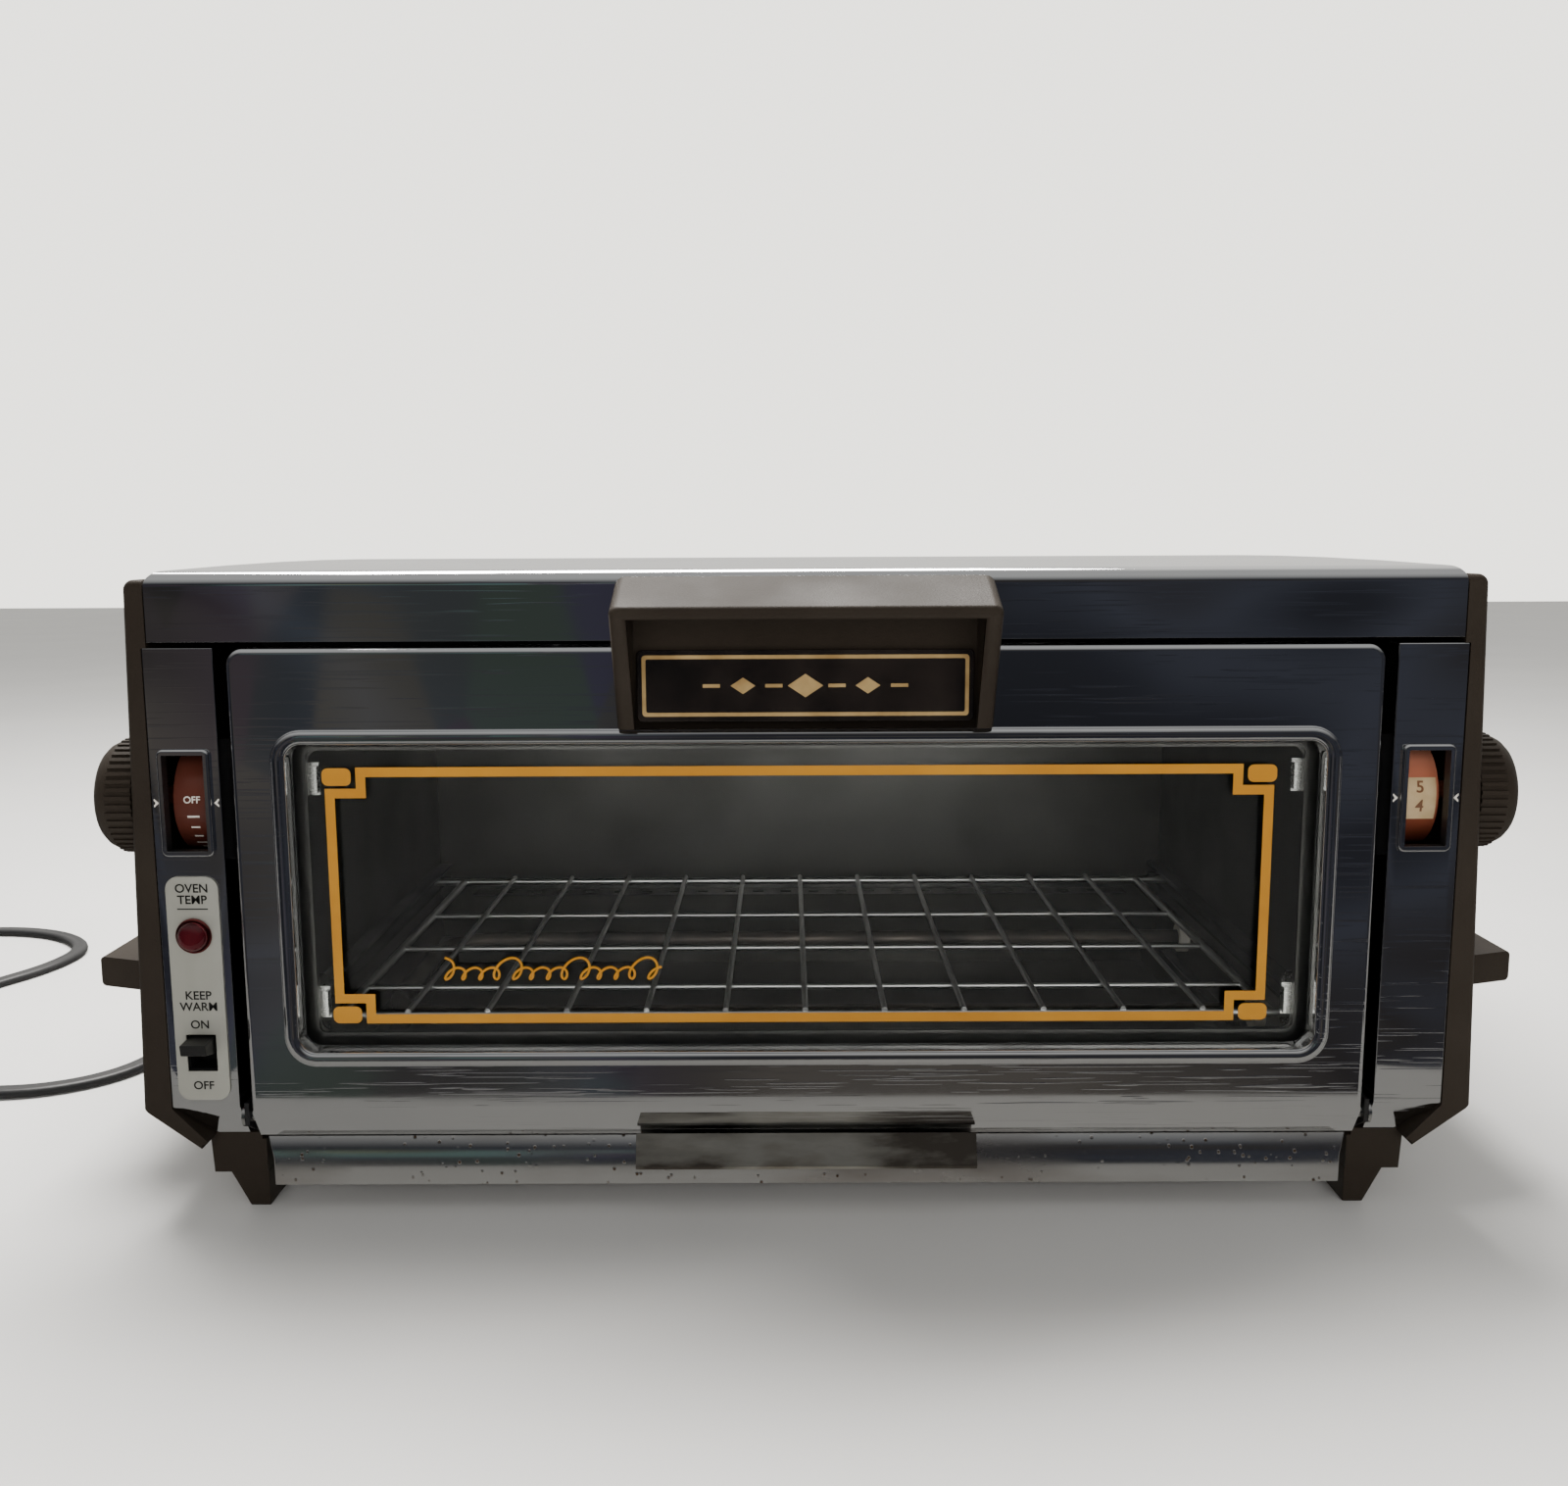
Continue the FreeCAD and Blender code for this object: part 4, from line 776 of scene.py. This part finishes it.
# ---- Door handle
# Brown moulded grip with a hood and two cheeks; a black badge with a gold line.
handle = finished_copy("door_handle", "door_handle_moulding", 0.7 * mm, 3)
settle(handle, brown, "door", "brown_plastic", "door_handle")
badge_low, badge_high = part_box("handle_badge")
badge = finished_copy("handle_badge", "handle_badge_plate", 0.25 * mm)
black_gloss = mottled("black_gloss_enamel", 60.0, 8.0,
                      [(0.35, (0.006, 0.005, 0.005)), (0.8, (0.022, 0.016, 0.013))],
                      [(0.4, 0.10), (0.8, 0.32)], (("Coat Weight", 0.5), ("Coat Roughness", 0.05)))
settle(badge, black_gloss, "door", "badge_gloss", "handle_badge")

gold_foil = mottled("gold_foil", 120.0, 5.0, [(0.3, (0.40, 0.25, 0.09)), (0.7, (0.62, 0.43, 0.19))],
                    [(0.3, 0.5), (0.7, 0.32)], (("Metallic", 0.35),))
edge = 1.5 * mm
border = 1.1 * mm
badge_line = [
    rounded_outline(badge_low.x + edge, badge_high.x - edge, badge_low.z + edge, badge_high.z - edge,
                    1.0 * mm),
    rounded_outline(badge_low.x + edge + border, badge_high.x - edge - border,
                    badge_low.z + edge + border, badge_high.z - edge - border, 0.6 * mm),
]
badge_middle = (badge_low.z + badge_high.z) / 2
lozenge = 3.4 * mm
for x in (-18.0 * mm, 0.0, 18.0 * mm):
    size = lozenge if x == 0 else lozenge * 0.7
    badge_line.append([(x - size * 1.5, badge_middle), (x, badge_middle + size),
                       (x + size * 1.5, badge_middle), (x, badge_middle - size)])
for side in (-1, 1):
    for x in (9.0, 27.0):
        start, end = (x - 2.4) * mm, (x + 2.6) * mm
        badge_line.append([(side * start, badge_middle - 0.5 * mm), (side * end, badge_middle - 0.5 * mm),
                           (side * end, badge_middle + 0.5 * mm), (side * start, badge_middle + 0.5 * mm)])
ornament = flat_shape("handle_badge_gold", badge_line, 0.12 * mm, badge_low.y - 0.05 * mm)
settle(ornament, gold_foil, "door", "badge_gloss")

# ---- Dials
# A printed drum behind each window and a ribbed thumb knob outside each end panel.
rib_count = 44
knob_dome = 5.6 * mm
rib_height = 0.6 * mm
for side, body, name in ((-1, "temperature_dial", "temperature"), (1, "toast_dial", "toast")):
    knob_low, knob_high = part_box(name + "_knob")
    middle = (knob_low + knob_high) / 2
    radius = (knob_high.z - knob_low.z) / 2
    length = knob_high.x - knob_low.x
    knob = add_round(name + "_knob_moulding", radius - rib_height, length - knob_dome,
                     (middle.x - side * knob_dome / 2, middle.y, middle.z), "X", rib_count * 4)
    pick(knob, "FACE", lambda co, normal: normal.x * side > 0.9)
    for shrink, forward in ((0.975, 1.5), (0.955, 1.5), (0.92, 1.3), (0.84, 0.9), (0.5, 0.35)):
        bpy.ops.mesh.extrude_region_move(TRANSFORM_OT_translate={"value": (side * forward * mm, 0, 0)})
        bpy.ops.transform.resize(value=(1, shrink, shrink), center_override=(middle.x, middle.y, middle.z))
    leave_edit()

    def on_rib(co, normal, centre=middle):
        angle = math.atan2(co.z - centre.z, co.y - centre.y) / math.tau * rib_count * 4
        return abs(normal.x) < 0.1 and int(math.floor(angle)) % 4 in (0, 1)

    pick(knob, "FACE", on_rib)
    bpy.ops.mesh.extrude_region_shrink_fatten(TRANSFORM_OT_shrink_fatten={"value": rib_height})
    leave_edit()
    choose(knob)
    bpy.ops.object.shade_smooth_by_angle(angle=math.radians(28))
    settle(knob, brown, body, "brown_plastic", name + "_knob")

left_drum_red = mottled("drum_dark_red", 30.0, 3.0,
                        [(0.3, (0.085, 0.022, 0.014)), (0.8, (0.125, 0.036, 0.024))], 0.3)
dress(frame["nodes"]["temperature_drum"], left_drum_red)
right_drum_orange, tree, surface = new_material("drum_orange", (("Roughness", 0.32),))
split = tree.nodes.new("ShaderNodeSeparateXYZ")
span = tree.nodes.new("ShaderNodeMapRange")
span.inputs["From Min"].default_value = 0.113
span.inputs["From Max"].default_value = 0.145
join(tree, (object_place(tree), split.inputs["Vector"]), (split.outputs["Z"], span.inputs["Value"]),
     (add_ramp(tree, span.outputs["Result"], [(0.0, (0.10, 0.025, 0.012)), (0.35, (0.20, 0.05, 0.025)),
                                              (0.70, (0.42, 0.13, 0.07)), (1.0, (0.62, 0.26, 0.17))]),
      surface.inputs["Base Color"]))
dress(frame["nodes"]["toast_drum"], right_drum_orange)

white_ink = mottled("white_ink", 300.0, 3.0, [(0.3, (0.66, 0.62, 0.56)), (0.7, (0.80, 0.77, 0.70))], 0.5)


def lettering(name, words, size, middle, thick=0.05 * mm):
    """Generic word or number, stood up facing the front and made a mesh."""
    data = bpy.data.curves.new(name, "FONT")
    data.body = words
    data.size = size
    data.extrude = thick
    data.offset = 0.015 * size
    data.align_x = "CENTER"
    data.align_y = "CENTER"
    piece = made_mesh(name, data)
    stand_up(piece, middle)
    return piece


def round_drum(piece, drum_middle, angle):
    """Turn a mark from the front of its drum to another place round it."""
    choose(piece)
    bpy.ops.object.mode_set(mode="EDIT")
    bpy.ops.mesh.select_all(action="SELECT")
    bpy.ops.transform.rotate(value=-angle, orient_axis="X", center_override=drum_middle)
    leave_edit()


def merge(pieces, name):
    """Join pieces into the first one."""
    bpy.ops.object.select_all(action="DESELECT")
    for piece in pieces:
        piece.select_set(True)
    bpy.context.view_layer.objects.active = pieces[0]
    bpy.ops.object.join()
    pieces[0].name = name
    return pieces[0]


drum_low, drum_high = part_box("temperature_drum")
control_x = 183.25 * mm
drum_radius = (drum_high.z - drum_low.z) / 2
drum_middle = Vector((-control_x, (drum_low.y + drum_high.y) / 2, (drum_low.z + drum_high.z) / 2))
marks = []
for number in range(21):
    angle = math.radians(13 * number + 14)
    wide = 2.6 * mm if number % 3 else 3.6 * mm
    y = drum_middle.y - drum_radius
    tick = add_block("tick", (drum_middle.x - wide / 2, y - 0.04 * mm, drum_middle.z - 0.3 * mm),
                     (drum_middle.x + wide / 2, y + 0.04 * mm, drum_middle.z + 0.3 * mm))
    round_drum(tick, drum_middle, angle)
    marks.append(tick)
off = lettering("off_word", "OFF", 2.9 * mm,
                (drum_middle.x, drum_middle.y - drum_radius - 0.1 * mm, drum_middle.z))
round_drum(off, drum_middle, math.radians(-4))
marks.append(off)
ticks = merge(marks, "temperature_drum_marks")
settle(ticks, white_ink, "temperature_dial", "drum_red_brown")

toast_middle = Vector((control_x, drum_middle.y, drum_middle.z))
cream = mottled("cream_ink", 200.0, 3.0, [(0.3, (0.50, 0.36, 0.19)), (0.7, (0.60, 0.45, 0.26))], 0.4)
label = add_round("toast_drum_label", drum_radius + 0.05 * mm, 9.6 * mm, toast_middle, "X", 96)


def off_label(co, normal):
    around = math.degrees(math.atan2(co.z - toast_middle.z, toast_middle.y - co.y))
    return abs(normal.x) > 0.5 or not -22 < around < 22


pick(label, "FACE", off_label)
bpy.ops.mesh.delete(type="FACE")
bpy.ops.mesh.select_all(action="SELECT")
bpy.ops.mesh.extrude_region_shrink_fatten(TRANSFORM_OT_shrink_fatten={"value": 0.05 * mm})
leave_edit()
choose(label)
bpy.ops.object.shade_smooth_by_angle(angle=math.radians(30))
settle(label, cream, "toast_dial", "drum_orange")
brown_ink = mottled("brown_ink", 300.0, 3.0, [(0.3, (0.16, 0.07, 0.03)), (0.7, (0.22, 0.10, 0.05))], 0.5)
numerals = []
for number, angle in (("4", 8), ("5", -12)):
    numeral = lettering("numeral", number, 5.0 * mm,
                        (toast_middle.x, toast_middle.y - drum_radius - 0.12 * mm, toast_middle.z))
    round_drum(numeral, toast_middle, math.radians(angle))
    numerals.append(numeral)
toast_numbers = merge(numerals, "toast_drum_numbers")
settle(toast_numbers, brown_ink, "toast_dial", "drum_orange")

# White pointers either side of each window.
pointers = []
pointer_height = drum_middle.z + 1.0 * mm
pointer_apart, pointer_length = 9.6 * mm, 1.4 * mm
for window_side in (-1, 1):
    for side in (-1, 1):
        x = window_side * control_x + side * pointer_apart
        tip = x - side * pointer_length
        pointers.append([(x, pointer_height + 1.3 * mm), (x + side * 0.1 * mm, pointer_height + 0.8 * mm),
                         (tip + side * 0.9 * mm, pointer_height),
                         (x + side * 0.1 * mm, pointer_height - 0.8 * mm), (x, pointer_height - 1.3 * mm),
                         (tip, pointer_height)])
strip_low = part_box("control_strip_left")[0]
pointer_marks = flat_shape("window_pointers", pointers, 0.06 * mm, strip_low.y - 0.04 * mm)
settle(pointer_marks, white_ink, "oven", "chrome")

# ---- Label plate, lamp and slide switch
# Satin silver plate with generic words, a red jewel in a dark red ring, a black slider.
plate = finished_copy("control_label_plate", "control_label_face", 0.12 * mm)
silver = mottled("satin_silver", 80.0, 4.0, [(0.3, (0.43, 0.43, 0.38)), (0.7, (0.50, 0.50, 0.45))],
                 [(0.3, 0.5), (0.7, 0.36)], (("Metallic", 0.45),), (1, 1, 0.2))
settle(plate, silver, "oven", "label_silver", "control_label_plate")
plate_low, plate_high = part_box("control_label_plate")
plate_x = (plate_low.x + plate_high.x) / 2
plate_face = plate_low.y - 0.03 * mm
black_ink = mottled("black_ink", 300.0, 3.0,
                    [(0.3, (0.004, 0.004, 0.004)), (0.7, (0.012, 0.011, 0.010))], 0.5)
words = [lettering("word", text, size * mm, (plate_x, plate_face, height * mm), 0.02 * mm)
         for text, height, size in (("OVEN", 104.0, 3.7), ("TEMP", 100.5, 3.7), ("KEEP", 70.9, 3.7),
                                    ("WARM", 67.4, 3.7), ("ON", 61.8, 3.6), ("OFF", 42.6, 3.6))]
rule = add_block("rule", (plate_x - 4.6 * mm, plate_face - 0.02 * mm, 97.6 * mm),
                 (plate_x + 4.6 * mm, plate_face + 0.02 * mm, 97.95 * mm))
panel_words = merge(words + [rule], "control_label_words")
settle(panel_words, black_ink, "oven", "label_silver")

jewel_red = mottled("red_jewel", 400.0, 2.0,
                    [(0.3, (0.085, 0.006, 0.012)), (0.8, (0.14, 0.014, 0.022))], 0.06,
                    (("Transmission Weight", 0.55), ("IOR", 1.49)))
lens_low, lens_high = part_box("pilot_lamp_lens")
lens_middle = (lens_low + lens_high) / 2
jewel = add_round("pilot_lamp_jewel", 4.4 * mm, 2.0 * mm,
                  (lens_middle.x, plate_low.y - 0.9 * mm, lens_middle.z), "Y", 48)
pick(jewel, "FACE", lambda co, normal: normal.y < -0.9)
for shrink, forward in ((0.86, 0.9), (0.78, 0.7), (0.6, 0.35)):
    bpy.ops.mesh.extrude_region_move(TRANSFORM_OT_translate={"value": (0, -forward * mm, 0)})
    bpy.ops.transform.resize(value=(shrink, 1, shrink))
leave_edit()
choose(jewel)
bpy.ops.object.shade_smooth_by_angle(angle=math.radians(40))
settle(jewel, jewel_red, "oven", "lamp_red", "pilot_lamp_lens")
bpy.ops.object.select_all(action="DESELECT")
bpy.ops.mesh.primitive_torus_add(major_radius=4.75 * mm, minor_radius=0.65 * mm, major_segments=64,
                                 minor_segments=14, rotation=(math.radians(90), 0, 0),
                                 location=(lens_middle.x, plate_low.y - 0.45 * mm, lens_middle.z))
lamp_ring = bpy.context.object
lamp_ring.name = "pilot_lamp_ring"
bpy.ops.object.transform_apply(location=True, rotation=True, scale=True)
bpy.ops.object.shade_smooth()
ring_red = plated("dark_red_ring", (0.22, 0.05, 0.05), (0.36, 0.10, 0.09), 0.16, 0.08, 0.1)
settle(lamp_ring, ring_red, "oven", "lamp_red")

switch_black = plastic("switch_black", (0.010, 0.010, 0.010), (0.020, 0.020, 0.020), 900.0, 0.1,
                       (0.3, 0.45))
slider = finished_copy("keep_warm_slider", "keep_warm_thumb_slider", 0.35 * mm, 3)
settle(slider, switch_black, "keep_warm", "switch_black", "keep_warm_slider")
for node in ("keep_warm_switch_body", "toast_control_body", "thermostat_body", "terminal_block"):
    dress(frame["nodes"][node], switch_black)

# ---- Oven inside
# Aluminised sheet, coloured very dark: partly real heat darkening and partly painted shade of the dim oven
# inside; wire rack; sheathed elements in ceramic bushes.
# Its very dark colour is partly real heat darkening and partly painted shade of the dim inside of the oven.
aluminised = mottled("aluminised_sheet_heat_and_painted_shade", 9.0, 7.0,
                     [(0.30, (0.05, 0.048, 0.046)), (0.55, (0.12, 0.117, 0.114)),
                      (0.75, (0.16, 0.156, 0.15))],
                     [(0.3, 0.42), (0.7, 0.31)], metal)
for node in ("crumb_tray_pan", "oven_wall_right", "oven_wall_left", "oven_back_wall", "oven_ceiling",
             "baffle_front", "baffle_rear", "door_inner_frame"):
    dress(frame["nodes"][node], aluminised)

wire = plated("rack_wire_plate", (0.56, 0.56, 0.55), (0.72, 0.72, 0.71), 0.3, 0.12, 0.1)
rack = finished_copy("oven_rack", "oven_rack_wires", 0.05 * mm, 1, 50)
settle(rack, wire, "rack", "rack_wire", "oven_rack")

sheath = mottled("element_sheath_dull", 45.0, 6.0, [(0.3, (0.06, 0.055, 0.055)), (0.7, (0.17, 0.14, 0.12))],
                 [(0.3, 0.6), (0.7, 0.38)], (("Metallic", 0.8),))
for node in ("upper_element", "lower_element"):
    element = finished_copy(node, node + "_rod", 0.05 * mm, 1, 60)
    settle(element, sheath, "oven", "element_sheath", node)

ceramic = mottled("white_ceramic", 90.0, 4.0, [(0.3, (0.58, 0.54, 0.47)), (0.7, (0.74, 0.71, 0.65))], 0.65)
dress(frame["nodes"]["element_insulators"], ceramic)

# ---- Frame, back and small steel parts
# Black painted sheet with a light orange-peel, rubber bumpers, plain steel fixings.
black_paint = plastic("black_paint", (0.012, 0.012, 0.013), (0.024, 0.023, 0.022), 260.0, 0.25,
                      (0.32, 0.5))
for node in ("base_frame", "rack_rail_right", "rack_rail_left"):
    dress(frame["nodes"][node], black_paint)
back = finished_copy("back_panel", "back_panel_sheet", 0.15 * mm)
settle(back, black_paint, "oven", "black_steel", "back_panel")
for side in ("left", "right"):
    bumper = finished_copy("rear_bumper_" + side, "rear_bumper_rubber_" + side, 0.3 * mm)
    settle(bumper, cord_black, "oven", "rubber", "rear_bumper_" + side)
plain_steel = plated("plain_steel", (0.45, 0.45, 0.44), (0.60, 0.60, 0.59), 0.22, 0.15, 0.2)
for node in ("hinge_pin_left", "hinge_pin_right", "handle_screws", "glass_clips", "door_arm_left",
             "door_arm_right"):
    dress(frame["nodes"][node], plain_steel)
bulb_glass, tree, surface = new_material("bulb_glass", (("Base Color", (0.9, 0.75, 0.65, 1)),
                                                        ("Transmission Weight", 0.8)))
join(tree, (add_ramp(tree, add_noise(tree, object_place(tree), 120.0, 3.0), [(0.3, 0.05), (0.8, 0.2)]),
            surface.inputs["Roughness"]))
dress(frame["nodes"]["pilot_lamp_bulb"], bulb_glass)
